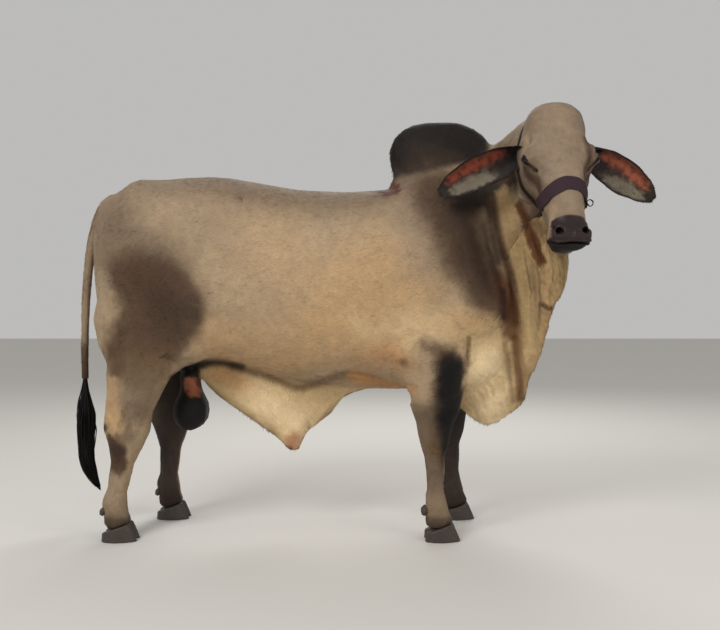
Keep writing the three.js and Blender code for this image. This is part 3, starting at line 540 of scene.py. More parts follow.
@dataclass(frozen=True)
class Fold:
    """A crease with a roll of skin beside it, or a ridge where it is deep by less than nothing.

    Lines of three numbers are on the head, and lines of two in side view.
    """

    line: Line
    width: float
    deep: float
    roll: float = 0.45
    regions: tuple[Region, ...] = REGIONS
    taper: float = 0.16

    def height(self, skin: Skin) -> Array:
        """Gives how far it lifts or sinks each place, in millimetres."""
        on_face = len(self.line[0]) == 3
        places = skin.face.copy() if on_face else skin.view * PIXEL
        if on_face:
            places[:, 1] = np.abs(places[:, 1])
        line = curve_through(self.line, 6) * (1.0 if on_face else PIXEL)
        margin = self.width * 5
        close = np.all((places > line.min(axis=0) - margin) & (places < line.max(axis=0) + margin), axis=1)
        if on_face:
            close &= skin.of(Region.HEAD) > 0.05
        out = np.zeros(len(places))
        if not close.any():
            return out
        far, share = to_line(places[close], line)
        taper = smoothstep(share, 0.0, self.taper) * smoothstep(share, 1.0, 1 - self.taper)
        crease = -np.exp(-((far / self.width) ** 2))
        lip = self.roll * np.exp(-(((far - 2.3 * self.width) / (1.1 * self.width)) ** 2))
        flat = 1.0 if on_face else np.clip(1.7 * np.abs(skin.facing[close, 1]), 0, 1)
        out[close] = self.deep * (crease + lip) * taper * flat * np.clip(skin.of(*self.regions)[close], 0, 1)
        return out


@dataclass(frozen=True)
class Mark:
    """A patch or streak of another tone, drawn in side view or on the face.

    Width is half its breadth, and soft is the share of it over which its edge fades. Side is 1 for a mark on
    the left alone, -1 for the right alone, and 0 for both.
    """

    line: Line
    width: float
    tone: Tone
    strength: float = 1.0
    regions: tuple[Region, ...] = REGIONS
    soft: float = 0.8
    side: int = 0
    thin: float = 5.0

    def lay(self, skin: Skin, places: Array, face: Array, colours: Array) -> None:
        """Paints the mark over the colours so far.

        Args:
            skin: The hide.
            places: The side view, with ragged edges.
            face: The head's coordinates, with ragged edges.
            colours: Red, green and blue, changed in place.
        """
        on_face = len(self.line[0]) == 3
        if on_face:
            sideways = np.abs(face[:, 1]) if self.side == 0 else face[:, 1] * self.side
            spots = np.stack([face[:, 0], sideways, face[:, 2]], axis=1)
        else:
            # A thin streak keeps its line, and only a broad patch has a ragged edge
            spots = places if self.width > self.thin else skin.view
        line = curve_through(self.line, 5) if len(self.line) > 1 else np.array([self.line[0], self.line[0]])
        reach = self.width * (1 + self.soft)
        close = np.all((spots > line.min(axis=0) - reach) & (spots < line.max(axis=0) + reach), axis=1)
        if on_face:
            close &= skin.of(Region.HEAD) > 0.02
        if not close.any():
            return
        far, _ = to_line(spots[close], line)
        amount = self.strength * smoothstep(far, reach, self.width * (1 - self.soft))
        if self.side and not on_face:
            amount = amount * (skin.points[close, 1] * self.side > 0)
        amount = (amount * np.clip(skin.of(*self.regions)[close], 0, 1))[:, None]
        colours[close] = mixed(colours[close], self.tone.rgb, amount)


def new_material(name: str) -> tuple[Material, bpy.types.NodeTree]:
    """Makes a material whose node tree is empty."""
    material = bpy.data.materials.new(name)
    material.use_nodes = True
    material.node_tree.nodes.clear()
    return material, material.node_tree


def add_node(tree: bpy.types.NodeTree, kind: str, links: dict, **settings: object) -> bpy.types.Node:
    """Adds a shader node with its settings and links.

    Args:
        tree: The material's node tree.
        kind: The node's type, without the words Shader Node before it.
        links: For an input's name or number, a value or another node's output.
        **settings: The node's own properties.

    Returns:
        The node.
    """
    node = tree.nodes.new("ShaderNode" + kind)
    for key, value in settings.items():
        setattr(node, key, value)
    for key, value in links.items():
        if isinstance(value, bpy.types.NodeSocket):
            tree.links.new(value, node.inputs[key])
        else:
            node.inputs[key].default_value = value
    return node


@dataclass(frozen=True)
class CoatFinish:
    """Short flat hair on hide: dusty and soft, streaked along the hair, and wet where it is bare."""

    name: str = "short_hair_on_hide"
    dry: float = 0.72
    wet: float = 0.42
    streak: float = 0.16
    hair_mm: float = 0.6
    pebble_mm: float = 0.9
    specular: float = 0.22
    sheen: float = 0.03

    def build(self) -> Material:
        """Makes the material."""
        material, tree = new_material(self.name)
        layers = (TINT, BARE, DROP)
        tint, bare, lie = (add_node(tree, "Attribute", {}, attribute_name=name) for name in layers)
        spots = add_node(tree, "TexCoord", {}).outputs["Object"]
        # Hairs are drawn as streaks 3 mm wide and 14 mm long, coarser than real so that they show
        streaks = []
        for scale in ((70, 320, 300), (320, 320, 70)):
            way = add_node(tree, "Mapping", {"Vector": spots, "Scale": scale})
            noise = add_node(tree, "TexNoise", {"Vector": way.outputs[0], "Scale": 1.0, "Detail": 3.0})
            streaks.append(noise.outputs["Fac"])
        sides = {"Factor": lie.outputs["Fac"], "A": streaks[0], "B": streaks[1]}
        hair = add_node(tree, "Mix", sides, data_type="FLOAT")
        # Clumps and dust, in patches about 40 mm across
        patch = add_node(tree, "TexNoise", {"Vector": spots, "Scale": 26.0, "Detail": 5.0, "Roughness": 0.65})
        total = add_node(tree, "Math", {0: hair.outputs[0], 1: patch.outputs["Fac"]}, operation="ADD")
        span = {"From Min": 0.7, "From Max": 1.3, "To Min": 1 - self.streak, "To Max": 1 + self.streak}
        level = add_node(tree, "MapRange", {"Value": total.outputs[0], **span})
        both = {0: tint.outputs["Color"], 1: level.outputs[0]}
        shade = add_node(tree, "VectorMath", both, operation="MULTIPLY")
        depth = {"Distance": self.hair_mm * MM, "Strength": 0.7}
        fur = add_node(tree, "Bump", {"Height": total.outputs[0], **depth})
        # Bare skin of nose and lips is pebbled, with cells about 4 mm across
        cells = add_node(tree, "TexVoronoi", {"Vector": spots, "Scale": 240.0}, feature="SMOOTH_F1")
        bareness = bare.outputs["Fac"]
        lumps = add_node(tree, "Math", {0: cells.outputs["Distance"], 1: bareness}, operation="MULTIPLY")
        depth = {"Distance": -self.pebble_mm * MM, "Normal": fur.outputs[0]}
        skin = add_node(tree, "Bump", {"Height": lumps.outputs[0], **depth})
        rough = add_node(tree, "MapRange", {"Value": bareness, "To Min": self.dry, "To Max": self.wet})
        look = {
            "Base Color": shade.outputs[0],
            "Roughness": rough.outputs[0],
            "Normal": skin.outputs[0],
            "Sheen Weight": self.sheen,
            "Sheen Roughness": 0.5,
            "Specular IOR Level": self.specular,
        }
        shader = add_node(tree, "BsdfPrincipled", look)
        add_node(tree, "OutputMaterial", {"Surface": shader.outputs[0]})
        return material


@dataclass(frozen=True)
class PlainFinish:
    """A finish of two close tones with a fine grain: horn, hair, webbing or leather."""

    name: str
    colour: str
    other: str
    roughness: float
    grain: Triple
    bump_mm: float = 0.0
    specular: float = 0.5

    def build(self) -> Material:
        """Makes the material."""
        material, tree = new_material(self.name)
        spots = add_node(tree, "TexCoord", {}).outputs["Object"]
        scaled = add_node(tree, "Mapping", {"Vector": spots, "Scale": self.grain})
        noise = add_node(tree, "TexNoise", {"Vector": scaled.outputs[0], "Scale": 1.0, "Detail": 4.0})
        tones = {"Factor": noise.outputs["Fac"], "A": srgb(self.colour), "B": srgb(self.other)}
        blend = add_node(tree, "Mix", tones, data_type="RGBA")
        look = {
            "Base Color": blend.outputs[2],
            "Roughness": self.roughness,
            "Specular IOR Level": self.specular,
        }
        if self.bump_mm:
            bump = add_node(tree, "Bump", {"Height": noise.outputs["Fac"], "Distance": self.bump_mm * MM})
            look["Normal"] = bump.outputs[0]
        shader = add_node(tree, "BsdfPrincipled", look)
        add_node(tree, "OutputMaterial", {"Surface": shader.outputs[0]})
        return material


# Worn hoof horn: dark, dull and streaked down the wall
HORN = PlainFinish("worn_hoof_horn", "241f1b", "4c4036", 0.5, (60, 60, 260), 0.6)
# Coarse hair: near black, with a faint shine along the locks
HAIR = PlainFinish("coarse_black_hair", "070606", "15110f", 0.55, (500, 500, 40), 0.0, 0.2)
# Woven webbing: matt, with the weave as a fine grain
WEBBING = PlainFinish("woven_plum_webbing", "281a20", "3f2a32", 0.85, (420, 420, 420), 0.5, 0.3)
# Old brown leather: dark and dull from wear
STRAP = PlainFinish("brown_leather_strap", "1a110b", "2c1c12", 0.65, (240, 240, 240), 0.4, 0.2)


def dress(thing: Object, material: Material, slot: str, *nodes: str) -> None:
    """Gives a piece its material, hangs it from the root body and hides the CAD nodes it takes the place of.

    Args:
        thing: The piece.
        material: Its material.
        slot: The record's material slot; it is not used.
        *nodes: The CAD nodes that it takes the place of.
    """
    thing.data.materials.clear()
    thing.data.materials.append(material)
    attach(thing, "root")
    if nodes:
        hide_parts(*nodes)


def count(thing: Object) -> int:
    """Counts a piece's triangles."""
    return sum(len(face.vertices) - 2 for face in thing.data.polygons)


@dataclass(frozen=True)
class Ear:
    """A long drooping ear: a cupped leaf with a rolled rim, ridges inside and a deep hole at its root."""

    region: Region
    side: int
    tip: Triple
    head: HeadFrame
    rows: int = 60
    across: int = 26
    root: Triple = (138.0, 96.0, -124.0)
    rise_of_bend: float = 26.0
    # Share of the length, and there the width, the depth of the cup and the thickness
    outline: Line = (
        (0.0, 0.07, 0.14, 0.22, 0.32, 0.5, 0.7, 0.86, 0.95, 1.0),
        (30, 50, 80, 102, 120, 135, 125, 98, 66, 40),
        (2, 14, 36, 42, 40, 32, 24, 15, 9, 4),
        (40, 34, 20, 12, 8, 7, 6.5, 6, 5, 4),
    )
    opening: Triple = (0.016, -0.93, -0.34)
    curl: float = 1.45
    hollow_deep: float = 15.0
    ridge_high: float = 1.5
    ridge_rate: float = 9.5
    rim_high: float = 2.4
    tip_long: float = 9.0

    def ring(self, share: float) -> tuple[Array, Array]:
        """Gives one ring of places round the ear.

        Args:
            share: How far along the ear it is.

        Returns:
            The places, and for each the share along, the share up across it, and its face, 1 inside or -1.
        """
        start = self.head.place(np.array([[self.root[0], self.side * self.root[1], self.root[2]]]))[0]
        end = np.array(self.tip)
        bend = (start + end) / 2 + np.array([0, 0, self.rise_of_bend])
        t = min(share, 1.0)
        centre = start * (1 - t) ** 2 + 2 * bend * t * (1 - t) + end * t**2
        along = 2 * (bend - start) * (1 - t) + 2 * (end - bend) * t
        along /= np.linalg.norm(along)
        front = np.array(self.opening) - along * np.dot(self.opening, along)
        front /= np.linalg.norm(front)
        rise = np.cross(along, front)
        stations, wide, cup, thick = np.array(self.outline)
        wide, cup, thick = (np.interp(t, stations, values) for values in (wide, cup, thick))
        if share > 1:
            centre = centre + along * self.tip_long * math.sqrt(share - 1)
            wide *= math.sqrt(max(0.0, 1 - (share - 1) ** 2)) * 0.9
        over = math.copysign(1.0, rise[2])
        f = np.sin(np.linspace(-math.pi / 2, math.pi / 2, self.across))
        f = np.concatenate([f, f[::-1]])
        face = np.repeat([1.0, -1.0], self.across)
        up = f * over
        inner = (face > 0).astype(float)
        ragged = 1 + 0.035 * np.sin(11 * t + 1.2 * self.side) * (up < 0) + 0.02 * np.sin(23 * t)
        hollow = self.hollow_deep * np.exp(-(((t - 0.15) / 0.1) ** 2) - ((up + 0.05) / 0.42) ** 2)
        ridged = math.sin(math.pi * min(max((t - 0.1) / 0.62, 0), 1))
        ridges = self.ridge_high * np.cos(self.ridge_rate * f) * ridged * inner
        rim = self.rim_high * smoothstep(np.abs(f), 0.8, 0.97) * inner
        forward = cup * (0.5 - np.cos(self.curl * f)) + face * thick * 0.5 * (1 - 0.6 * f**4)
        forward = forward - hollow + ridges + rim
        sideways = (wide / 2) * np.sin(self.curl * f) * ragged + face * f * thick * 0.3
        places = centre + rise * sideways[:, None] + front * forward[:, None]
        return places, np.stack([np.full(len(f), t), up, face], axis=1)

    def build(self, body: BodyFrame) -> Object:
        """Makes the ear as a closed mesh that knows its own places."""
        shares = np.concatenate([np.linspace(0, 1, self.rows), [1.35, 1.7, 1.9]])
        rings = [self.ring(share) for share in shares]
        points, spots = (np.concatenate(part) for part in zip(*rings))
        each = self.across * 2
        faces = []
        for i in range(len(shares) - 1):
            for k in range(each):
                a, b = i * each + k, i * each + (k + 1) % each
                faces.append((a, b, b + each, a + each))
        faces.append(tuple(range(each)))
        faces.append(tuple(range((len(shares) - 1) * each, len(shares) * each)))
        ear = from_arrays(self.region.value + "_leaf", body.row(points), faces)
        in_edit_mode(ear, bpy.ops.mesh.normals_make_consistent, inside=False)
        for region in REGIONS:
            put(ear.data, region.share, np.full(len(points), float(region is self.region)))
        for index, name in enumerate(EAR_SPOTS):
            put(ear.data, name, spots[:, index])
        return ear


@dataclass(frozen=True)
class Lids:
    """Heavy lids over both eyes, with a narrow slanting slit, and a tear groove at its inner end."""

    seat: Triple = (218.0, 126.0, -56.0)
    radius: float = 21.0
    outward: Triple = (-0.06, 0.82, 0.57)
    slit: Triple = (0.84, -0.36, 0.40)
    half_long: float = 1.05
    half_open: float = 0.25
    lid: float = 2.4

    def centre(self, head: HeadFrame, body: BodyFrame, side: int) -> Array:
        """Gives the middle of the eye on a side, 1 for left or -1 for right, in the model's metres."""
        u, v, w = self.seat
        return body.row(head.place(np.array([[u, side * v, w]])))[0]

    def around(self, face: Array, reach: float, spread: float) -> Array:
        """Tells which places are near an eye.

        Args:
            face: Places in the head's own directions.
            reach: How far from the eye's middle they may be.
            spread: How far off the way out of it, in radians.

        Returns:
            True for each place that is near.
        """
        away, _, _, off = self.angles(face)
        return (np.linalg.norm(away, axis=1) < reach) & (off < spread)

    def axes(self) -> tuple[Array, Array, Array]:
        """Gives the way out of the eye, the way along the slit to its inner end, and the way up."""
        out = np.array(self.outward) / np.linalg.norm(self.outward)
        slit = np.array(self.slit) - out * np.dot(self.slit, out)
        slit /= np.linalg.norm(slit)
        up = np.cross(out, slit)
        return out, slit, up if up[0] < 0 else -up

    def angles(self, face: Array) -> tuple[Array, Array, Array, Array]:
        """Measures places from the eye's middle.

        Args:
            face: Places in the head's own directions.

        Returns:
            The vector from the middle, and the angles along the slit, across it and off the way out.
        """
        away = face * np.array([1, 0, 1]) + np.abs(face) * np.array([0, 1, 0]) - np.array(self.seat)
        far = np.maximum(np.linalg.norm(away, axis=1), 1e-6)
        out, slit, up = self.axes()
        ahead = away @ out
        along = np.arctan2(away @ slit, np.maximum(ahead, 1e-6))
        across = np.arctan2(away @ up, np.maximum(ahead, 1e-6))
        return away, along, across, np.arccos(np.clip(ahead / far, -1, 1))

    def gape(self, along: Array, across: Array) -> Array:
        """Gives how far each place is outside the slit, in radians, or inside it by less than nothing."""
        rest = np.clip(1 - (along / self.half_long) ** 2, 0, 1)
        half = self.half_open * rest**0.7
        middle = 0.05 * (1 - (along / self.half_long) ** 2)
        past = np.maximum(np.abs(along) - self.half_long, 0)
        over = np.abs(across - middle) - half
        return np.hypot(over, past) * np.sign(np.where(past > 0, 1.0, over))

    def drape(self, skin: Skin) -> Array:
        """Gives the hide's places with the lids laid over the eyes, in the bull's millimetres."""
        away, along, across, off = self.angles(skin.face)
        far = np.linalg.norm(away, axis=1)
        near = self.around(skin.face, 60, 1.45) & (skin.of(Region.HEAD) > 0.3)
        gap = self.gape(along, across)
        lid = self.radius + self.lid + 1.3 * np.exp(-(((gap - 0.1) / 0.1) ** 2))
        # A crease above and one below the slit, as depth, angle and half length
        for deep, high, long in ((1.6, 0.82, 1.1), (1.0, -0.72, 0.9)):
            lid -= deep * np.exp(-(((across - high) / 0.08) ** 2)) * (np.abs(along) < long)
        tear = np.exp(-(((across + 0.1) / 0.07) ** 2)) * smoothstep(along, 0.8, 0.95)
        lid -= 1.8 * (tear * smoothstep(along, 1.5, 1.2))
        cover = smoothstep(off, 1.3, 0.85)
        target = far * (1 - cover) + lid * cover
        target = np.where(gap < 0.035, np.minimum(target, self.radius - 2.5), target)
        scale = np.where(near, target / np.maximum(far, 1e-6), 1.0)
        moved = away * (scale - 1)[:, None]
        moved[:, 1] *= np.sign(skin.face[:, 1])
        return skin.points + moved @ skin.head.axes()


EAR_SPOTS = ("ear_along", "ear_up", "ear_face")


@dataclass
class Hide:
    """The skin of the whole body, with its folds, muscles and markings."""

    body: BodyFrame
    head: HeadFrame
    voxel: float = 5.5
    turns: int = 56
    inside: float = 1.6
    limit: int = 194_000
    root_blend: float = 16.0
    lids: Lids = field(default_factory=Lids)
    # How widely each part's facets are rounded off, and how far its copy is swollen first
    round_off: float = 12.0
    rounder: dict[Region, float] = field(
        default_factory=lambda: {
            Region.TORSO: 23.0,
            Region.HUMP: 20.0,
            Region.NECK: 18.0,
            Region.HEAD: 7.0,
            Region.TAIL: 8.0,
            Region.EAR_RIGHT: 6.0,
            Region.EAR_LEFT: 6.0,
        }
    )
    swell: float = 0.5
    fuller: dict[Region, float] = field(default_factory=lambda: {Region.DEWLAP: 3.4, Region.SHEATH: 1.5})

    def gather(self) -> Object:
        """Fuses copies of the flesh nodes into one closed skin, with the eye sockets filled."""
        copies = []
        for region in REGIONS:
            if region in EARS:
                continue
            copy = merged_copy(region.value)
            finish_with(copy, "DISPLACE", strength=self.fuller.get(region, self.swell) * MM, mid_level=0.0)
            copies.append(copy)
        size = (self.lids.radius + 3) * MM
        for side in (-1, 1):
            spot = self.lids.centre(self.head, self.body, side)
            ball = bpy.ops.mesh.primitive_ico_sphere_add
            copies.append(primitive(ball, "socket", subdivisions=4, radius=size, location=spot))
        select_only(*copies)
        bpy.ops.object.join()
        hide = bpy.context.view_layer.objects.active
        hide.name = "hide"
        finish_with(hide, "REMESH", mode="VOXEL", voxel_size=self.voxel * MM, use_remove_disconnected=False)
        hide.data.materials.clear()
        return hide

    def regions(self, points: Array) -> Array:
        """Finds which node's flesh each place is, as one column for each region."""
        corners, faces, owner = [], [], []
        for index, region in enumerate(REGIONS):
            if region in EARS:
                continue
            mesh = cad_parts[region.value].data
            start = len(corners)
            corners.extend(v.co.copy() for v in mesh.vertices)
            faces.extend([start + i for i in face.vertices] for face in mesh.polygons)
            owner.extend([index] * len(mesh.polygons))
        tree = BVHTree.FromPolygons(corners, faces)
        out = np.zeros((len(points), len(REGIONS)))
        for i, point in enumerate(points):
            out[i, owner[tree.find_nearest(point)[2]]] = 1.0
        return out

    def even_out(self, hide: Object) -> Array:
        """Rounds off the facets and keeps the form's volume.

        Args:
            hide: The fused skin.

        Returns:
            How much each place belongs to each region.
        """
        mesh = hide.data
        points = coordinates(mesh) / MM
        spread = Diffusion(mesh)
        weights = spread.run(self.regions(points * MM), 0.5, 24)
        sigma = weights @ np.array([self.rounder.get(region, self.round_off) for region in REGIONS])
        rate = np.clip(2 * sigma**2 / (self.turns * self.voxel**2), 0, 0.9)
        soft = spread.run(points, rate, self.turns)
        soft += spread.run(points - soft, rate, self.turns)
        set_coordinates(mesh, soft * MM)
        extra = weights @ np.array([self.fuller.get(region, self.swell) - self.swell for region in REGIONS])
        soft -= normals(mesh) * (self.inside + extra)[:, None]
        set_coordinates(mesh, soft * MM)
        return weights

    def read(self, hide: Object) -> Skin:
        """Reads all that is known of each place."""
        mesh = hide.data
        weights = np.stack([take(mesh, region.share) for region in REGIONS], axis=1)
        return Skin(self.body.own(coordinates(mesh)), normals(mesh), weights, self.body, self.head)

    def refine(self, hide: Object, chosen: Array) -> None:
        """Splits the faces round chosen places in four.

        Args:
            hide: The skin.
            chosen: True for each place to refine.
        """
        select_only(hide)
        mesh = hide.data
        bpy.ops.object.mode_set(mode="EDIT")
        bpy.ops.mesh.select_mode(type="VERT")
        bpy.ops.mesh.select_all(action="DESELECT")
        bpy.ops.object.mode_set(mode="OBJECT")
        mesh.vertices.foreach_set("select", chosen)
        bpy.ops.object.mode_set(mode="EDIT")
        bpy.ops.mesh.select_mode(type="FACE")
        bpy.ops.mesh.subdivide(number_cuts=1, smoothness=0.0, quadcorner="INNERVERT")
        bpy.ops.object.mode_set(mode="OBJECT")

    def shape(self, hide: Object) -> None:
        """Adds the muscles, bones, folds and wrinkles, and the lids."""
        skin = self.read(hide)
        lift = np.zeros(len(skin.points))
        for form in (*BODY_FORMS, *HEAD_FORMS):
            lift += form.height(skin)
        lift += Wrinkles().height(skin)
        points = skin.points + skin.facing * lift[:, None]
        loose = np.clip(skin.of(Region.DEWLAP, Region.NECK, Region.SHEATH), 0, 1) * (1 - skin.of(Region.HEAD))
        points = Diffusion(hide.data, loose > 0.05).run(points, 0.6 * loose, 5)
        set_coordinates(hide.data, self.body.row(points))
        set_coordinates(hide.data, self.body.row(self.lids.drape(self.read(hide))))

    def join_ears(self, hide: Object) -> None:
        """Joins the ears to the head, and blends the skin where they meet."""
        for name in EAR_SPOTS:
            put(hide.data, name, np.zeros(len(hide.data.vertices)))
        for region, side, tip in (
            (Region.EAR_RIGHT, -1, (320.0, -308.0, 1406.0)),
            (Region.EAR_LEFT, 1, (1169.0, -259.0, 1386.0)),
        ):
            ear = Ear(region, side, tip, self.head).build(self.body)
            finish_with(hide, "BOOLEAN", object=ear, operation="UNION", solver="MANIFOLD")
            select_only(ear)
            bpy.ops.object.delete()
        mesh = hide.data
        names = [region.share for region in REGIONS]
        known = np.stack([take(mesh, name) for name in names], axis=1)
        fresh = known.sum(axis=1) < 0.5
        points = coordinates(mesh)
        tree = KDTree(int(fresh.sum()))
        for index, point in enumerate(points[fresh]):
            tree.insert(point, index)
        tree.balance()
        low, high = points[fresh].min(axis=0), points[fresh].max(axis=0)
        near = np.zeros(len(points))
        for index in np.nonzero(np.all((points > low - 0.03) & (points < high + 0.03), axis=1))[0]:
            near[index] = max(0.0, 1 - tree.find(points[index])[2] / (self.root_blend * MM))
        spread = Diffusion(mesh, near > 0)
        known = spread.run(known, fresh * 0.9, 4)
        known = spread.run(known, 0.8 * near, 8)
        known /= np.maximum(known.sum(axis=1, keepdims=True), 1e-6)
        set_coordinates(mesh, spread.run(points, 0.8 * near, 12))
        for index, name in enumerate(names):
            put(mesh, name, known[:, index])
        log.info("ears joined: %d places at the roots", fresh.sum())

    def thin(self, hide: Object) -> None:
        """Takes faces away where the skin is even in form and tone, least of all on the head."""
        finish_with(hide, "TRIANGULATE")
        have = len(hide.data.polygons)
        if have <= self.limit:
            return
        skin = self.read(hide)
        group = hide.vertex_groups.new(name="even")
        eyes = self.lids.around(skin.face, 45, 1.3)
        # How much of its fineness each place keeps
        fine = 0.62 * skin.of(Region.HEAD) + 0.5 * skin.of(*EARS) + 0.4 * skin.of(Region.DEWLAP)
        fine += 0.2 * skin.of(Region.NECK) + eyes + 0.2 * skin.of(Region.HEAD) * (skin.face[:, 0] > 470)
        fine += np.minimum(7 * self.steps(hide.data), 0.7)
        amount = np.clip(1.0 - 0.9 * fine, 0.05, 1.0)
        for step in range(10):
            low, high = step / 10, (step + 1) / 10
            chosen = np.nonzero((amount > low) & (amount <= high))[0]
            if len(chosen):
                group.add(chosen.tolist(), high, "REPLACE")
        finish_with(hide, "DECIMATE", ratio=self.limit / have, vertex_group="even", vertex_group_factor=1.0)
        hide.vertex_groups.clear()

    def paint(self, hide: Object) -> None:
        """Colours the coat, and sets where it is bare and which way its hair runs."""
        skin = self.read(hide)
        mesh = hide.data
        spots = np.stack([take(mesh, name) for name in EAR_SPOTS], axis=1)
        colours, bare = Markings(self.lids).colours(skin, spots)
        put_colour(mesh, TINT, colours)
        put(mesh, DROP, np.clip(skin.of(*HANGING, Region.HEAD), 0, 1))
        put(mesh, BARE, bare)

    def steps(self, mesh: Mesh) -> Array:
        """Gives how sharply the coat's tone changes at each place."""
        tone = np.sqrt(take_colour(mesh, TINT)[:, 1])
        ends = values_of(mesh.edges, "vertices", 2, int)
        jump = np.abs(tone[ends[:, 0]] - tone[ends[:, 1]])
        most = np.zeros(len(tone))
        for k in (0, 1):
            np.maximum.at(most, ends[:, k], jump)
        return most

    def build(self, finish: Material) -> tuple[Object, Skin]:
        """Makes the hide.

        Args:
            finish: The coat's material.

        Returns:
            The piece, and what is known of each place on it.
        """
        hide = self.gather()
        log.info("hide fused: %d faces", len(hide.data.polygons))
        weights = self.even_out(hide)
        for index, region in enumerate(REGIONS):
            put(hide.data, region.share, weights[:, index])
        skin = self.read(hide)
        self.refine(hide, skin.of(Region.HEAD) > 0.5)
        skin = self.read(hide)
        muzzle = (skin.face[:, 0] > 480) & (skin.face[:, 2] > -130)
        self.refine(hide, (skin.of(Region.HEAD) > 0.5) & (self.lids.around(skin.face, 46, 1.4) | muzzle))
        skin = self.read(hide)
        self.refine(hide, (skin.of(Region.HEAD) > 0.5) & self.lids.around(skin.face, 34, 1.15))
        self.shape(hide)
        self.join_ears(hide)
        self.paint(hide)
        self.thin(hide)
        skin = self.read(hide)
        log.info("hide shaped, painted and thinned")
        for name in (*(region.share for region in REGIONS), *EAR_SPOTS):
            hide.data.attributes.remove(hide.data.attributes[name])
        while hide.data.uv_layers:
            hide.data.uv_layers.remove(hide.data.uv_layers[0])
        select_only(hide)
        bpy.ops.object.shade_smooth()
        dress(hide, finish, "grey_coat", *(region.value for region in REGIONS))
        log.info("hide: %d triangles", count(hide))
        return hide, skin


@dataclass(frozen=True)
class Wrinkles:
    """Fine creases that run down the neck and dewlap, and the buckled skin of the brisket."""

    spacing: float = 7.5
    high: float = 1.5

    def height(self, skin: Skin) -> Array:
        """Gives how far they lift each place, in millimetres."""
        across, down = skin.view.T
        main = np.interp(down, [190, 215, 240, 270, 300, 345, 400], [490, 497, 501, 511, 518, 522, 524])
        place = across - main + 1.3 * waves(skin.points, 160, 21)
        band = smoothstep(place, -52, -34) * smoothstep(place, 62, 40) * smoothstep(down, 178, 205)
        loose = np.clip(skin.of(Region.DEWLAP) + 0.8 * skin.of(Region.NECK), 0, 1)
        crease = 1 - 2 * np.abs(np.sin(math.pi * place / self.spacing)) ** 0.7
        depth = 0.6 + 0.4 * waves(skin.points, 90, 22)
        lift = -self.high * crease * depth * band * loose
        buckle = smoothstep(across, 460, 470) * smoothstep(across, 516, 500) * smoothstep(down, 366, 384)
        tilt = (down - 0.35 * across) / 4.6 + 0.5 * waves(skin.points, 60, 23)
        lift += 1.4 * np.sin(2 * math.pi * tilt) * buckle * loose
        return lift + 0.5 * waves(skin.points, 34, 24) * (1 - skin.of(Region.HEAD)) * (0.5 + loose)


BODY_FORMS: tuple[Swell | Fold, ...] = (
    Swell((400, 190, 1250), (120, 90, 200), 8),
    Swell((470, 190, 930), (90, 90, 90), 12),
    Swell((250, 240, 950), (70, 80, 150), 8),
    Swell((170, 270, 1150), (50, 90, 160), -8),
    Swell((-620, 220, 1330), (60, 80, 60), 14),
    Swell((-1020, 100, 1330), (50, 60, 60), 10),
    Swell((-700, 260, 1250), (60, 90, 80), -12),
    Swell((-480, 290, 1260), (90, 90, 90), -10),
    Swell((-820, 230, 1010), (110, 90, 170), 10),
    Swell((-940, 200, 900), (34, 90, 140), -7),
    # The fold of the flank, and the line where the sheath hangs from the belly
    Fold(((165, 380), (190, 369), (214, 363), (244, 366)), 10, 12),
    Fold(((240, 366), (270, 376), (298, 386), (322, 380), (345, 373), (372, 377), (406, 388)), 6, 9, 0.35),
    Fold(((352, 380), (378, 382), (408, 392)), 4, 3, 0.3),
    Fold(((160, 352), (175, 364), (196, 360)), 12, 6),
    Fold(((398, 348), (404, 358), (400, 368)), 8, 5),
    # Pleats of the neck and dewlap
    Fold(((484, 210), (490, 235), (494, 255), (500, 270), (502, 290), (502, 315)), 13, 8),
    Fold(((492, 198), (497, 225), (501, 243), (507, 262), (512, 282), (514, 300), (516, 322)), 13, 10),
    Fold(((505, 285), (507, 300), (509, 322)), 6, 5),
    Fold(((512, 205), (519, 235), (521, 250), (525, 270), (529, 300), (530, 340)), 8, 7),
    Fold(((517, 200), (524, 222), (530, 240), (541, 262)), 12, 9),
    Fold(((534, 262), (537, 290), (536, 320), (532, 350)), 9, 8),
    Fold(((545, 240), (550, 270), (546, 300)), 10, 9),
    Fold(((519, 335), (520, 355), (523, 375), (522, 400)), 8, 10),
    Fold(((502, 325), (505, 345), (509, 365), (510, 385), (514, 400)), 8, 8),
    Fold(((469, 335), (468, 350), (468, 366)), 7, 10),
    Fold(((476, 372), (488, 384), (494, 400)), 6, 5),
    Fold(((468, 384), (480, 396), (486, 414)), 6, 5),
    Fold(((464, 400), (474, 410), (478, 422)), 6, 5),
    Fold(((504, 396), (508, 408), (512, 418)), 5, 5),
    Fold(((541, 303), (548, 308), (556, 307)), 6, 6),
    Fold(((455, 235), (462, 262), (470, 285), (476, 310)), 12, 5),
    Fold(((468, 215), (477, 245), (484, 272), (490, 300)), 10, 6),
    Fold(((440, 240), (446, 265), (452, 290)), 12, 3),
    # Tendons and joints of the legs
    Fold(((119, 462), (112, 482), (109, 503)), 7, 4, 0.5, HIND),
    Fold(((133, 398), (124, 418), (118, 436)), 9, 6, 0.5, HIND),
    Fold(((148, 404), (142, 424), (134, 440)), 8, 4, 0.5, HIND),
    Fold(((431, 470), (430, 486), (430, 502)), 6, 4, 0.5, FORE),
    Fold(((424, 408), (428, 430), (430, 444)), 8, 4, 0.5, FORE),
    Fold(((430, 446), (440, 450), (446, 446)), 6, 3, 0.5, FORE),
    Fold(((429, 461), (438, 464), (446, 461)), 6, 3, 0.5, FORE),
)

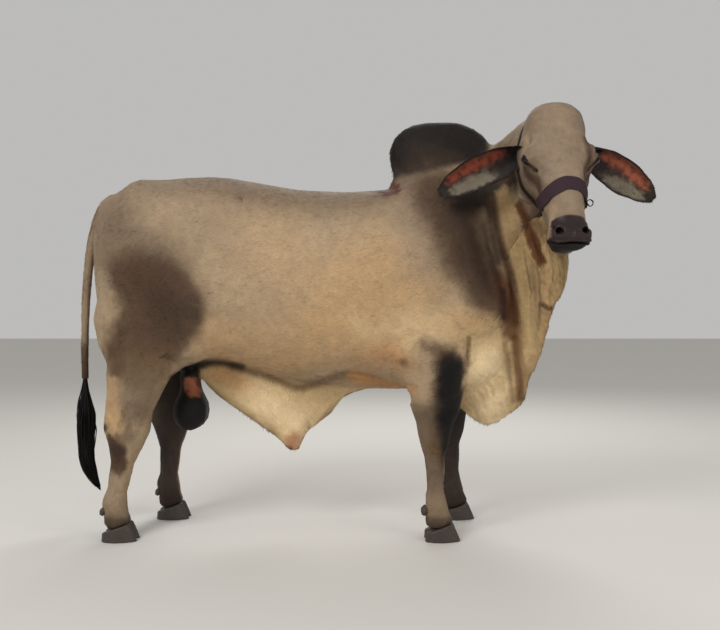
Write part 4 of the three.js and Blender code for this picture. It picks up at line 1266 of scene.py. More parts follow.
NOSTRIL = ((562, 26, -16), (552, 36, -18), (538, 48, -26), (526, 58, -40), (522, 64, -54))
MOUTH = (
    *((588, -10, -25), (588, 25, -27), (585, 48, -33), (573, 68, -50)),
    *((558, 77, -74), (544, 80, -100), (532, 79, -124)),
)
HEAD_FORMS: tuple[Swell | Fold, ...] = (
    # Brow, temple, cheekbone and jaw muscle
    Swell((190, 122, -34), (24, 24, 20), 6, True),
    Swell((150, 128, -84), (34, 26, 34), -6, True),
    Fold(((262, 104, -62), (300, 90, -52), (345, 84, -56), (380, 78, -62)), 12, -5, 0.0),
    Swell((318, 92, -108), (46, 30, 34), -6, True),
    Swell((262, 122, -200), (64, 36, 56), 8, True),
    Swell((420, 82, -70), (46, 26, 40), -5, True),
    Swell((380, 52, -12), (70, 16, 16), 3, True),
    Swell((255, 40, 0), (60, 18, 20), -3, True),
    # Muzzle: cushions beside the nose, wings of the nostrils, lips and chin
    Swell((512, 74, -64), (30, 24, 30), 6, True),
    Fold(((505, 34, -6), (498, 52, -22), (502, 68, -46), (516, 76, -62)), 8, -5, 0.0),
    Fold(NOSTRIL, 7.5, 21, 0.18, REGIONS, 0.2),
    Fold(((520, 0, -2), (550, 0, -8), (580, 0, -18)), 4, 2.5, 0.3),
    Fold(MOUTH, 3.2, 11, 0.4, REGIONS, 0.05),
    Swell((574, 48, -26), (12, 26, 14), 4, True),
    Swell((604, 0, -60), (14, 46, 24), 6, True),
    Swell((560, 86, -108), (18, 16, 20), 4, True),
    # Fine folds over the nose, under the eye and behind the jaw
    Fold(((470, 66, -44), (462, 78, -66), (466, 84, -90)), 3.5, 2.4),
    Fold(((456, 64, -40), (446, 76, -64), (450, 82, -92)), 3.5, 2.0),
    Fold(((484, 30, -4), (480, 0, -1), (484, -30, -4)), 3.0, 1.6),
    Fold(((268, 108, -66), (262, 128, -92), (250, 138, -112)), 3.5, 2.6),
    Fold(((280, 102, -72), (276, 122, -100), (262, 132, -124)), 3.5, 2.0),
    Fold(((176, 134, -46), (170, 140, -72), (184, 146, -94)), 4.0, 2.6),
    Fold(((120, 104, -120), (128, 120, -140), (150, 126, -156)), 6.0, 5.0),
    Fold(((60, 86, -120), (92, 108, -132), (112, 112, -146)), 6.0, 4.0),
    Fold(((300, 96, -230), (270, 112, -250), (236, 122, -262)), 7.0, 4.0),
)


@dataclass(frozen=True)
class Markings:
    """The coat's colours: cream flank, dark hump, neck and thighs, with worn and bare places, and painted
    light and shade in places.
    """

    lids: Lids
    # Dark blots inside the ear: their place along and up it, half length and half height, as shares
    ear_blots: tuple[tuple[float, float, float, float], ...] = (
        (0.36, -0.12, 0.09, 0.26),
        (0.58, 0.0, 0.05, 0.12),
        (0.46, -0.2, 0.05, 0.12),
    )

    def base(self, skin: Skin) -> Array:
        """Gives the plain tone of each region."""
        tones = {
            Region.HUMP: Tone.PEAT,
            Region.NECK: Tone.DUST,
            Region.HEAD: Tone.ASH,
            Region.DEWLAP: Tone.STRAW,
            Region.SHEATH: Tone.CREAM,
            Region.SCROTUM: Tone.BLACK,
            Region.TAIL: Tone.BRONZE,
            Region.EAR_RIGHT: Tone.SLATE,
            Region.EAR_LEFT: Tone.SLATE,
        }
        palette = np.array([tones.get(region, Tone.FAWN).rgb for region in REGIONS])
        share = np.maximum(skin.weights, 0)
        share /= np.maximum(share.sum(axis=1, keepdims=True), 1e-6)
        return share @ palette

    def ears(self, skin: Skin, spots: Array, colours: Array) -> Array:
        """Paints the ears: a dark rim, raw salmon skin above and pale hair below.

        Args:
            skin: The hide.
            spots: The ears' own places: share along, share up, and face.
            colours: Red, green and blue, changed in place.

        Returns:
            How bare the skin is there.
        """
        along, up, face = spots.T
        jitter = 0.05 * waves(skin.points, 26, 12)
        along = along + 0.5 * jitter
        up = up + jitter
        inner = smoothstep(face, 0.0, 1.0)
        right = skin.of(Region.EAR_RIGHT)
        rim = np.clip(smoothstep(np.abs(up) + 0.12 * right, 0.74, 0.88) + smoothstep(along, 0.87, 0.95), 0, 1)

        def lay(tone: Tone, amount: Array) -> None:
            """Paints one tone over the ears by an amount for each place."""
            colours[:] = mixed(colours, tone.rgb, np.clip(amount, 0, 1)[:, None])

        lay(Tone.TAUPE, (1 - inner) * (face < -0.5) * smoothstep(up, -0.6, 0.5) * 0.8)
        band = smoothstep(up, -0.02, 0.2) * smoothstep(along, 0.17, 0.34) * inner
        lay(Tone.SALMON, 0.9 * band)
        lay(Tone.BLUSH, 0.5 * band * (1 - right) * smoothstep(up, 0.6, 0.3))
        lay(Tone.UMBER, band * smoothstep(up, 0.3, 0.75) * 0.6)
        lay(Tone.PLUM, band * np.clip(0.6 * waves(skin.points, 24, 13), 0, 0.7))
        low = smoothstep(up, 0.04, -0.16) * smoothstep(up, -0.85, -0.6) * smoothstep(along, 0.34, 0.5) * inner
        lay(Tone.FRINGE, low)
        for at, high, long, tall in self.ear_blots:
            lay(Tone.PLUM, inner * np.exp(-(((along - at) / long) ** 2) - ((up - high) / tall) ** 2))
        # Painted shade: black deep in the hole at the ear's root
        lay(Tone.BLACK, inner * smoothstep(along, 0.3, 0.16) * smoothstep(along, -0.05, 0.02))
        lay(Tone.SLATE, rim * (np.abs(face) > 0.5))
        return 0.3 * band

    def colours(self, skin: Skin, spots: Array) -> tuple[Array, Array]:
        """Gives the colour of each place of the hide.

        Args:
            skin: The hide.
            spots: The ears' own places.

        Returns:
            Red, green and blue for each place, and how bare it is.
        """
        rough = np.stack([waves(skin.points, 46, seed) for seed in (3, 4, 5)], axis=1)
        fine = np.stack([waves(skin.points, 15, seed) for seed in (6, 7, 10)], axis=1)
        places = skin.view + 1.3 * rough[:, :2] + 0.5 * fine[:, :2]
        face = skin.face + 2.6 * rough + 1.2 * fine
        colours = self.base(skin)
        legs = skin.of(*FORE, *HIND)
        low = (smoothstep(skin.points[:, 2], 620, 260) * legs)[:, None]
        colours = mixed(colours, Tone.TAUPE.rgb, low, 0.5)
        for mark in (*COAT_MARKS, *FACE_MARKS):
            mark.lay(skin, places, face, colours)
        # Painted shade: the legs' inner faces, under the body, are darkened to stand for the shadow between
        # the legs
        facing_in = smoothstep(-skin.facing[:, 1] * np.sign(skin.points[:, 1]), -0.1, 0.5)
        inner = (facing_in * legs * smoothstep(skin.points[:, 2], 900, 700))[:, None]
        colours = mixed(colours, Tone.SLATE.rgb, inner, 0.92)
        coronet = (smoothstep(skin.points[:, 2], 120, 84) * legs)[:, None]
        colours = mixed(colours, Tone.SOOT.rgb, coronet, 0.8)
        bare = self.ears(skin, spots, colours)
        bare = np.maximum(bare, self.nose(skin, face, colours))
        bare = np.maximum(bare, 0.25 * skin.of(Region.SCROTUM))
        shade = 1 + 0.05 * waves(skin.points, 150, 8) + 0.035 * waves(skin.points, 38, 9)
        return np.clip(colours * shade[:, None], 0.002, 1), np.clip(bare, 0, 1)

    def nose(self, skin: Skin, face: Array, colours: Array) -> Array:
        """Paints the nose pad, the lips and the rims of the eyes.

        Args:
            skin: The hide.
            face: The head's coordinates, with ragged edges.
            colours: Red, green and blue, changed in place.

        Returns:
            How bare the skin is there.
        """
        u, v, w = face[:, 0], np.abs(face[:, 1]), face[:, 2]
        head = smoothstep(skin.of(Region.HEAD), 0.1, 0.5)
        pad = smoothstep(u, 478, 488) * smoothstep(v + 0.35 * np.maximum(-w - 30, 0), 80, 70)
        lips = smoothstep(u - 0.25 * (w + 60), 546, 556) * smoothstep(w, -132, -116)
        pad = np.maximum(pad * smoothstep(w, -78, -66), lips) * head
        lower = (lips * smoothstep(u - 0.35 * w, 586, 600) * head)[:, None]
        colours[:] = mixed(colours, Tone.PLUM.rgb, pad[:, None])
        colours[:] = mixed(colours, Tone.BLACK.rgb, lower, 0.85)
        # Painted shade: black deep in the nostrils and along the slit of the mouth
        pit = Fold(NOSTRIL, 8.5, -1.0, 0.0).height(skin)
        slit = Fold(MOUTH, 3.6, -1.0, 0.0).height(skin)
        dark = np.clip(1.6 * np.maximum(pit, slit), 0, 1)[:, None] * head[:, None]
        colours[:] = mixed(colours, Tone.BLACK.rgb, dark)
        _, along, across, off = self.lids.angles(skin.face)
        gap = self.lids.gape(along, across)
        ring = smoothstep(gap, 0.3, 0.1) * (off < 1.45) * head
        tear = np.exp(-(((across + 0.1) / 0.12) ** 2)) * smoothstep(along, 0.8, 1.0)
        tear = tear * smoothstep(along, 1.5, 1.3) * head
        ring = np.clip(ring + tear * (off < 1.5), 0, 1)
        colours[:] = mixed(colours, Tone.BLACK.rgb, ring[:, None])
        return np.maximum(pad * (1 - 0.7 * lower[:, 0]), 0.6 * ring)


# Longer lines that the marks below follow
BELLY_SHADOW_LINE = ((232, 367), (272, 378), (298, 387.5), (322, 382), (345, 375), (372, 378))
NECK_PLEAT = ((492, 200), (498, 232), (504, 255), (510, 275), (513, 298), (516, 322))
CHEEK_HOLLOW = ((196, 140, -88), (240, 130, -110), (290, 104, -86), (340, 88, -70))
EYE_CORNER = ((204, 146, -66), (224, 142, -46), (246, 118, -60), (268, 95, -56))
LEFT_FACE_SHADE = ((150, 98, -26), (216, 101, -18), (250, 96, -36), (306, 78, -42), (400, 76, -46))
TRUNK = (Region.TORSO, Region.HUMP, Region.NECK, Region.DEWLAP)
FRONT = (Region.TORSO, Region.NECK, Region.DEWLAP, *FORE)
REAR = (Region.TORSO, Region.TAIL, *HIND)
COAT_MARKS: tuple[Mark, ...] = (
    # Back, loin and rump
    Mark(((150, 184), (220, 182), (300, 190), (385, 190)), 15, Tone.UMBER, 0.5, TRUNK, 0.95),
    Mark(((128, 186), (200, 184), (300, 194), (385, 194)), 22, Tone.TAUPE, 0.5, TRUNK, 0.95),
    Mark(((250, 200), (300, 206), (350, 204)), 12, Tone.ASH, 0.4, TRUNK, 0.9),
    Mark(((150, 205), (190, 212), (214, 235)), 24, Tone.DUST, 0.6, TRUNK, 0.9),
    Mark(((112, 214), (104, 240), (101, 270)), 13, Tone.TAUPE, 0.6, REAR, 0.8),
    Mark(((118, 224), (136, 240), (166, 264)), 22, Tone.TAUPE, 0.85, REAR, 0.9),
    # Flank, ribs and belly
    Mark(((270, 250), (300, 280), (330, 300)), 34, Tone.BUFF, 0.35, TRUNK, 1.0),
    Mark(((340, 320), (378, 270), (402, 290)), 34, Tone.BUFF, 0.85, TRUNK, 0.9),
    Mark(((365, 325), (385, 330), (400, 330)), 16, Tone.CREAM, 0.45, TRUNK, 0.9),
    Mark(((210, 336), (270, 344), (330, 338)), 20, Tone.BUFF, 0.6, TRUNK, 0.95),
    Mark(((220, 358), (270, 366), (320, 360)), 9, Tone.BUFF, 0.8, TRUNK, 0.9),
    # Painted shadow along the crease where the sheath hangs from the belly
    Mark(BELLY_SHADOW_LINE, 4.0, Tone.BRONZE, 0.75, REGIONS, 0.95),
    Mark(((355, 377), (380, 386), (408, 392)), 7, Tone.HONEY, 0.8, FRONT, 0.7),
    Mark(((372, 356), (390, 352), (402, 360)), 12, Tone.HONEY, 0.55, FRONT, 0.9),
    Mark(((404, 362),), 4, Tone.BRONZE, 0.8, FRONT, 0.9),
    Mark(((372, 300), (374, 318)), 4, Tone.HONEY, 0.35, TRUNK, 0.9),
    # Thigh and hind leg
    Mark(((132, 276), (144, 300), (138, 330), (134, 352)), 27, Tone.UMBER, 0.95, REAR, 0.45),
    Mark(((160, 278), (182, 296), (184, 318), (168, 340)), 21, Tone.UMBER, 0.95, REAR, 0.55),
    Mark(((160, 300), (186, 312), (172, 326)), 14, Tone.SOOT, 0.6, REAR, 0.9),
    Mark(((122, 350), (142, 358), (162, 350)), 15, Tone.UMBER, 0.8, REAR, 0.8),
    Mark(((128, 268), (134, 284)), 6, Tone.RAW, 0.3, REAR, 0.9),
    # Painted shadow: a black crescent in the groin fold between the thigh and the belly
    Mark(((172, 378), (190, 368), (214, 362.5), (242, 367)), 3.6, Tone.BLACK, 0.9, REGIONS, 0.9),
    Mark(((101, 280), (101, 320)), 8, Tone.DUST, 0.7, REAR, 0.6),
    Mark(((120, 362), (140, 372), (152, 366)), 18, Tone.BRONZE, 0.8, REAR, 0.8),
    Mark(((114, 350), (118, 372)), 6, Tone.UMBER, 0.6, REAR, 0.8),
    Mark(((138, 392), (132, 412), (128, 428)), 20, Tone.TAUPE, 0.7, HIND, 0.8),
    Mark(((108, 384), (110, 408), (114, 428)), 8, Tone.BUFF, 0.85, HIND, 0.6),
    Mark(((142, 432), (134, 456), (122, 486)), 9, Tone.FAWN, 0.75, HIND, 0.7),
    Mark(((112, 445), (117, 455), (115, 467)), 9.5, Tone.UMBER, 1.0, HIND, 0.35),
    Mark(((111, 449), (122, 452)), 4.5, Tone.SOOT, 0.8, HIND, 0.7),
    Mark(((103, 428),), 4, Tone.BLACK, 0.9, HIND, 0.7),
    Mark(((112, 480), (113, 505)), 8, Tone.DUST, 0.7, HIND, 0.8),
    Mark(((131, 492),), 4, Tone.RUST, 0.8, HIND, 0.7),
    # Hump, withers and neck
    Mark(((400, 190), (430, 186), (470, 190)), 15, Tone.TAUPE, 0.9, TRUNK, 0.9),
    Mark(((400, 150), (430, 138), (470, 146)), 26, Tone.COAL, 1.0, (Region.HUMP,), 0.8),
    Mark(((422, 160), (450, 168)), 13, Tone.UMBER, 0.35, (Region.HUMP,), 1.0),
    Mark(((418, 202), (440, 206), (462, 216)), 14, Tone.UMBER, 0.85, TRUNK, 0.9),
    Mark(((424, 220), (438, 238), (454, 262)), 14, Tone.UMBER, 0.5, TRUNK, 1.0),
    Mark(((405, 205), (414, 235), (424, 262)), 18, Tone.DUST, 0.8, TRUNK, 0.9),
    Mark(((438, 196), (452, 222), (466, 250), (480, 280), (497, 306)), 24, Tone.UMBER, 0.95, FRONT, 0.65),
    Mark(((458, 206), (474, 244), (488, 282)), 15, Tone.SOOT, 0.7, FRONT, 0.9),
    Mark(((385, 190), (395, 189)), 6, Tone.RAW, 0.95, TRUNK, 0.4),
    # Painted shadow: the right ear's shadow cast on the right side of the neck
    Mark(((460, 200), (480, 198), (497, 189), (507, 178)), 12, Tone.COAL, 0.95, FRONT, 0.5, -1),
    Mark(((505, 152), (500, 165), (503, 178)), 8, Tone.UMBER, 0.8, (Region.NECK,), 0.8),
    # Chest and upper arm
    Mark(((416, 330), (440, 326), (458, 330)), 18, Tone.CREAM, 0.6, FRONT, 0.9),
    Mark(((456, 322), (480, 326), (494, 334)), 13, Tone.BUFF, 0.8, FRONT, 0.8),
    Mark(((490, 350), (488, 385), (488, 415)), 26, Tone.CREAM, 0.9, FRONT, 0.5),
    # Painted highlight: a bright band down the front of the brisket
    Mark(((488, 366), (488, 392), (490, 410)), 16, Tone.IVORY, 0.85, FRONT, 0.9),
    # Painted light on the top of the pale column down the neck's pleats
    Mark(((512, 200), (516, 235), (522, 262)), 5, Tone.STRAW, 0.8, FRONT, 0.8),
    Mark(((552, 262), (553, 282), (553, 298)), 6, Tone.CREAM, 0.6, FRONT, 0.8),
    # Painted shade in the crease at the brisket's edge
    Mark(((469, 338), (468, 364)), 2.6, Tone.BRONZE, 0.6, FRONT, 0.95),
    # Pleats: the pale column is painted light where light falls on them, the dark creases are painted shade,
    # and the rust streak below the jaw is painted shadow of the jaw
    Mark(((504, 196), (507, 235), (514, 275), (521, 315), (524, 350)), 8, Tone.STRAW, 0.95, FRONT, 0.5),
    Mark(((488, 208), (493, 238), (499, 262)), 3.2, Tone.SOOT, 0.8, FRONT, 0.9),
    Mark(NECK_PLEAT, 4.4, Tone.UMBER, 0.95, FRONT, 0.8),
    Mark(((503, 285), (509, 305), (511, 333)), 8, Tone.RUST, 0.75, FRONT, 0.7),
    Mark(((503, 290), (504, 318)), 2.6, Tone.SOOT, 0.9, FRONT, 0.7),
    Mark(((515, 338), (518, 368), (521, 398)), 4, Tone.RUST, 0.75, FRONT, 0.7),
    Mark(((505, 345), (509, 372), (513, 400)), 2.6, Tone.UMBER, 0.45, FRONT, 0.95),
    # Painted shadow of the jaw: a rust streak, with brown beside it, below the jaw
    Mark(((521, 205), (527, 222), (534, 242), (541, 260)), 5.5, Tone.RUST, 0.95, FRONT, 0.4),
    Mark(((530, 206), (540, 232)), 6, Tone.BRONZE, 0.6, FRONT, 0.8),
    # Painted shade beside the pale column
    Mark(((531, 264), (535, 300), (534, 345)), 3.0, Tone.TAUPE, 0.45, FRONT, 0.9),
    Mark(((529, 300), (532, 330), (529, 360)), 6, Tone.CREAM, 0.5, FRONT, 0.9),
    Mark(((548, 272), (552, 296), (548, 330), (538, 364)), 8, Tone.BUFF, 0.6, FRONT, 0.8),
    Mark(((541, 304), (550, 309), (560, 304)), 2.4, Tone.UMBER, 0.85, FRONT, 0.7),
    # Forelegs: pale behind, with a black oval down the front
    Mark(((420, 362), (422, 400), (428, 440), (432, 480)), 15, Tone.TAUPE, 0.9, FORE, 0.8),
    Mark(((424, 345), (436, 350), (447, 354)), 7, Tone.UMBER, 0.7, FRONT, 0.9),
    Mark(((449, 364), (447, 392), (448, 420), (451, 456)), 16, Tone.UMBER, 0.85, (Region.TORSO, *FORE), 0.5),
    Mark(((451, 368), (450, 392), (451, 420), (454, 452)), 13.5, Tone.BLACK, 1.0, (Region.TORSO, *FORE), 0.5),
    Mark(((432, 446), (436, 452)), 5, Tone.BRONZE, 0.8, FORE, 0.8),
    # Sheath, scrotum and tail
    Mark(((215, 374), (232, 378), (250, 392)), 8, Tone.HONEY, 0.6, (Region.SHEATH,), 0.9),
    Mark(((255, 398), (280, 412), (300, 425)), 14, Tone.IVORY, 0.6, (Region.SHEATH,), 0.9),
    Mark(((290, 448), (294, 440)), 7, Tone.BLUSH, 0.7, (Region.SHEATH,), 0.8),
    # Painted light: a warm glow on the scrotum's top, where light came through between the hind legs
    Mark(((190, 384), (194, 392)), 6, Tone.BLUSH, 0.95, (Region.SCROTUM,), 0.5),
    Mark(((110, 210), (92, 255), (86, 310), (84, 350)), 9, Tone.DUST, 0.75, (Region.TAIL,), 0.6),
    Mark(((84, 352), (85, 384)), 8, Tone.UMBER, 0.85, (Region.TAIL,), 0.8),
)
FACE_MARKS: tuple[Mark, ...] = (
    Mark(((40, 0, 0), (120, 10, 0), (200, 20, 0)), 60, Tone.DUST, 0.5, REGIONS, 0.9),
    Mark(((330, 0, 0), (430, 0, 0)), 56, Tone.DUST, 0.45, REGIONS, 0.9),
    Mark(((450, 66, -46), (490, 78, -76), (516, 80, -92)), 26, Tone.FAWN, 0.7, REGIONS, 0.7),
    Mark(((108, 112, -80), (150, 132, -90)), 22, Tone.FAWN, 0.75, REGIONS, 0.9),
    Mark(CHEEK_HOLLOW, 28, Tone.UMBER, 0.9, REGIONS, 0.7),
    Mark(((256, 122, -104), (290, 102, -84), (330, 88, -68)), 15, Tone.SOOT, 0.5, REGIONS, 0.9),
    Mark(EYE_CORNER, 9, Tone.BLACK, 1.0, REGIONS, 0.5),
    Mark(((236, 128, -190), (290, 108, -190), (330, 80, -200)), 40, Tone.UMBER, 0.7, REGIONS, 0.9),
    Mark(((226, 122, -78), (250, 108, -62)), 12, Tone.UMBER, 0.7, REGIONS, 0.9),
    Mark(((132, 96, -34), (176, 100, -26)), 12, Tone.FAWN, 0.35, REGIONS, 0.9),
    # Painted shade on the left cheek, temple and round the left eye, on that side alone
    Mark(LEFT_FACE_SHADE, 15, Tone.UMBER, 0.95, REGIONS, 0.8, 1),
    Mark(((150, 118, -40), (190, 128, -40), (236, 124, -50)), 12, Tone.SOOT, 0.85, REGIONS, 0.8, 1),
    Mark(((120, 104, -112), (150, 112, -128)), 20, Tone.UMBER, 0.85, REGIONS, 0.8),
    Mark(((61, 52, 2),), 9, Tone.BLUSH, 0.4, REGIONS, 0.9, 1),
    Mark(((257, 20, 0),), 7, Tone.TAUPE, 0.5, REGIONS, 0.9, -1),
)


class Where(Enum):
    """The places that a batch of tufts grows on."""

    TRUNK = "trunk"
    EDGES = "edges"
    LEGS = "legs"
    HEAD = "head"
    EARS = "ears"


@dataclass
class Coat:
    """Short tufts that stand a little off the hide and break its outline.

    A tuft has a ring of three corners at its root, another half way up, and a tip.
    """

    skin_piece: Object
    skin: Skin
    name: str
    where: Where
    amount: int
    length: Pair
    width: float
    rise: Pair
    seed: int
    corners: int = 7
    faces: tuple[tuple[int, int, int], ...] = (
        *((2, 1, 0), (0, 1, 4), (0, 4, 3), (1, 2, 5), (1, 5, 4)),
        *((2, 0, 3), (2, 3, 5), (3, 4, 6), (4, 5, 6), (5, 3, 6)),
    )
    # Where a tuft's corners lie on its small patch of the unwrap, as shares of the patch
    laid: tuple[Pair, ...] = (
        *((0, 0), (1, 0), (0.5, 0.4), (0.1, 0.6)),
        *((0.9, 0.6), (0.5, 0.75), (0.5, 1)),
    )
    patch: float = 0.003

    def density(self, corners: Array) -> Array:
        """Gives how thickly the tufts stand on each face of the hide.

        Args:
            corners: The corner numbers of each face.

        Returns:
            A number for each face, in proportion to how many grow there.
        """
        skin = self.skin
        a, b, c = (skin.points[corners[:, k]] for k in range(3))
        area = np.linalg.norm(np.cross(b - a, c - a), axis=1)
        head, ears = skin.of(Region.HEAD), skin.of(*EARS)
        legs = skin.of(*FORE, *HIND)
        bare = take(self.skin_piece.data, BARE) > 0.15
        ridge = smoothstep(np.abs(skin.facing[:, 1]), 0.75, 0.25)
        much = {
            Where.TRUNK: (1 - head - ears - 0.7 * legs) * (0.6 + 0.8 * ridge),
            Where.EDGES: ridge * skin.of(Region.DEWLAP, Region.SHEATH, Region.TAIL, Region.HUMP, Region.NECK),
            Where.LEGS: legs,
            Where.HEAD: head * (1 - bare),
            Where.EARS: ears * (0.1 + 0.9 * ridge),
        }[self.where]
        haired = 0.02 + 0.98 * (1 - bare[corners].mean(axis=1))
        return area * np.clip(much, 0, 1)[corners].mean(axis=1) * haired

    def build(self, finish: Material) -> Object:
        """Makes the piece of tufts.

        Args:
            finish: The coat's material.

        Returns:
            The piece.
        """
        rng = np.random.default_rng(self.seed)
        mesh = self.skin_piece.data
        corners = values_of(mesh.polygons, "vertices", 3, int)
        density = self.density(corners)
        picked = rng.choice(len(corners), self.amount, p=density / density.sum())
        share = rng.dirichlet((1, 1, 1), self.amount)
        tri = corners[picked]

        def blend(values: Array) -> Array:
            """Gives the values at the roots, from the corners of their faces."""
            return np.einsum("ij,ijk->ik", share, values[tri])

        root = blend(self.skin.points)
        up = blend(self.skin.facing)
        up /= np.linalg.norm(up, axis=1, keepdims=True)
        weights = blend(self.skin.weights)
        tint = blend(take_colour(mesh, TINT))
        lie, drop = self.combed(weights, up, rng)
        side = np.cross(up, lie)
        length = rng.uniform(*self.length, self.amount)
        half = self.width * rng.uniform(0.7, 1.2, self.amount) / 2
        rise = rng.uniform(*self.rise, self.amount)
        rings = []
        sunk = np.full(self.amount, -0.6)
        for way, high, wide, thick in ((-0.1, sunk, 1.0, 0.4), (0.5, rise * length * 0.6, 0.8, 0.35)):
            centre = root + lie * (way * length)[:, None] + up * high[:, None]
            for s, h in ((-1, 0), (1, 0), (0, 1)):
                rings.append(centre + side * (s * half * wide)[:, None] + up * (h * thick * half)[:, None])
        tip = root + lie * length[:, None] + up * (rise * length)[:, None]
        points = np.stack([*rings, tip], axis=1).reshape(-1, 3)
        first = np.arange(self.amount)[:, None, None] * self.corners
        faces = (first + np.array(self.faces)[None]).reshape(-1, 3)
        piece = from_arrays(self.name, self.skin.body.row(points), faces.tolist())
        # Tufts take their shade from the hide below them, or they would show as dark dashes
        piece.data.normals_split_custom_set_from_vertices(np.repeat(up, self.corners, axis=0).tolist())
        tone = np.clip(tint * rng.uniform(0.94, 1.1, (self.amount, 1)), 0, 1)
        put_colour(piece.data, TINT, np.repeat(tone, self.corners, axis=0))
        put(piece.data, DROP, np.repeat(drop, self.corners))
        put(piece.data, BARE, np.zeros(self.amount * self.corners))
        patches = Unwrap().patches(root, up, weights)
        uv = piece.data.uv_layers.new(name="OFBake")
        laid = (patches[:, None, :] + (np.array(self.laid) * self.patch)[None]).reshape(-1, 2)
        uv.data.foreach_set("uv", laid[faces.ravel()].astype(np.float32).ravel())
        dress(piece, finish, "grey_coat")
        log.info("%s: %d triangles", self.name, len(faces))
        return piece

    def combed(self, weights: Array, up: Array, rng: np.random.Generator) -> tuple[Array, Array]:
        """Finds which way the hair lies at each root.

        Args:
            weights: The regions there.
            up: The way the hide faces there.
            rng: Where the small differences come from.

        Returns:
            The directions, and how much each hangs down rather than lies back.
        """
        column = REGIONS.index
        drop = np.clip(weights[:, [column(region) for region in HANGING]].sum(axis=1), 0, 1)
        way = np.array([-1.0, 0, -0.45]) * (1 - drop[:, None]) + np.array([-0.15, 0, -1.0]) * drop[:, None]
        face = weights[:, column(Region.HEAD)][:, None]
        way = way * (1 - face) + self.skin.head.axes()[0] * face
        for region, hand in ((Region.EAR_RIGHT, -1), (Region.EAR_LEFT, 1)):
            ear = weights[:, column(region)][:, None]
            way = way * (1 - ear) + np.array([0.8 * hand, 0.0, -0.7]) * ear
        way = way + rng.normal(scale=0.15, size=way.shape)
        lie = way - up * np.sum(way * up, axis=1, keepdims=True)
        return lie / np.maximum(np.linalg.norm(lie, axis=1, keepdims=True), 1e-6), drop


@dataclass(frozen=True)
class Unwrap:
    """Lays the hide's own shape out flat, each part of the body seen square on from six ways."""

    edge: float = 0.006
    # The first scale tried, as millimetres across the whole unwrap, and how much it shrinks until all fits
    span: float = 5200.0
    shrink: float = 0.95

    def patches(self, roots: Array, facing: Array, weights: Array) -> Array:
        """Finds where each tuft's root lies on the unwrap.

        Args:
            roots: The tufts' roots.
            facing: The way the hide faces there.
            weights: The regions there.

        Returns:
            Two numbers from 0 to 1 for each root.
        """
        part = np.argmax(weights, axis=1)
        axis = np.argmax(np.abs(facing), axis=1)
        way = axis * 2 + (facing[np.arange(len(facing)), axis] > 0)
        flat = np.empty((len(roots), 2))
        for k, pair in enumerate(((1, 2), (0, 2), (0, 1))):
            chosen = axis == k
            flat[chosen] = roots[chosen][:, pair]
        boxes = []
        for key in np.unique(part * 6 + way):
            chosen = part * 6 + way == key
            low = flat[chosen].min(axis=0)
            boxes.append((key, chosen, low, flat[chosen].max(axis=0) - low))
        boxes.sort(key=lambda box: -box[3][1])
        scale = 1 / self.span
        while True:
            x = y = shelf = 0.0
            out = np.zeros((len(roots), 2))
            for _, chosen, low, size in boxes:
                wide, high = size * scale + self.edge
                if x + wide > 1:
                    x, y, shelf = 0.0, y + shelf, 0.0
                out[chosen] = (flat[chosen] - low) * scale + np.array([x, y])
                x += wide
                shelf = max(shelf, high)
            if y + shelf <= 1:
                return out
            scale *= self.shrink


@dataclass(frozen=True)
class EyeFinish:
    """A wet eye: brown iris and black pupil under a clear, glossy cornea."""

    name: str = "wet_brown_eye"
    roughness: float = 0.1
    specular: float = 0.12
    coat: float = 0.08

    def build(self) -> Material:
        """Makes the material."""
        material, tree = new_material(self.name)
        tint = add_node(tree, "Attribute", {}, attribute_name="EyeTint")
        spots = add_node(tree, "TexCoord", {}).outputs["Object"]
        # Fibres of the iris, about 1 mm across
        noise = add_node(tree, "TexNoise", {"Vector": spots, "Scale": 900.0, "Detail": 3.0})
        level = add_node(tree, "MapRange", {"Value": noise.outputs["Fac"], "To Min": 0.6, "To Max": 1.4})
        both = {0: tint.outputs["Color"], 1: level.outputs[0]}
        shade = add_node(tree, "VectorMath", both, operation="MULTIPLY")
        look = {
            "Base Color": shade.outputs[0],
            "Roughness": self.roughness,
            "Specular IOR Level": self.specular,
            "Coat Weight": self.coat,
            "Coat Roughness": 0.05,
        }
        shader = add_node(tree, "BsdfPrincipled", look)
        add_node(tree, "OutputMaterial", {"Surface": shader.outputs[0]})
        return material


@dataclass
class Eyes:
    """Two dark wet balls, deep in their sockets."""

    head: HeadFrame
    body: BodyFrame
    lids: Lids = field(default_factory=Lids)
    tones: tuple[str, str, str] = ("2a160c", "050404", "3a2a24")

    def build(self, finish: Material) -> None:
        """Makes both eyes."""
        sphere = bpy.ops.mesh.primitive_uv_sphere_add
        size = {"segments": 96, "ring_count": 64, "radius": self.lids.radius * MM}
        iris, black, rim = (np.array(srgb(tone)[:3]) for tone in self.tones)
        for name, side in (("eye_right", -1), ("eye_left", 1)):
            spot = self.lids.centre(self.head, self.body, side)
            ball = primitive(sphere, f"ball_{name}", **size, location=spot)
            bpy.ops.object.shade_smooth()
            _, along, across, off = self.lids.angles(self.head.inside(self.body.own(coordinates(ball.data))))
            pupil = smoothstep(np.hypot(along / 0.42, across / 0.2), 1.15, 0.9)
            tint = mixed(iris, rim, smoothstep(off, 0.72, 0.84)[:, None])
            put_colour(ball.data, "EyeTint", mixed(tint, black, pupil[:, None]))
            dress(ball, finish, "eye", name)
            log.info("%s: %d triangles", ball.name, count(ball))


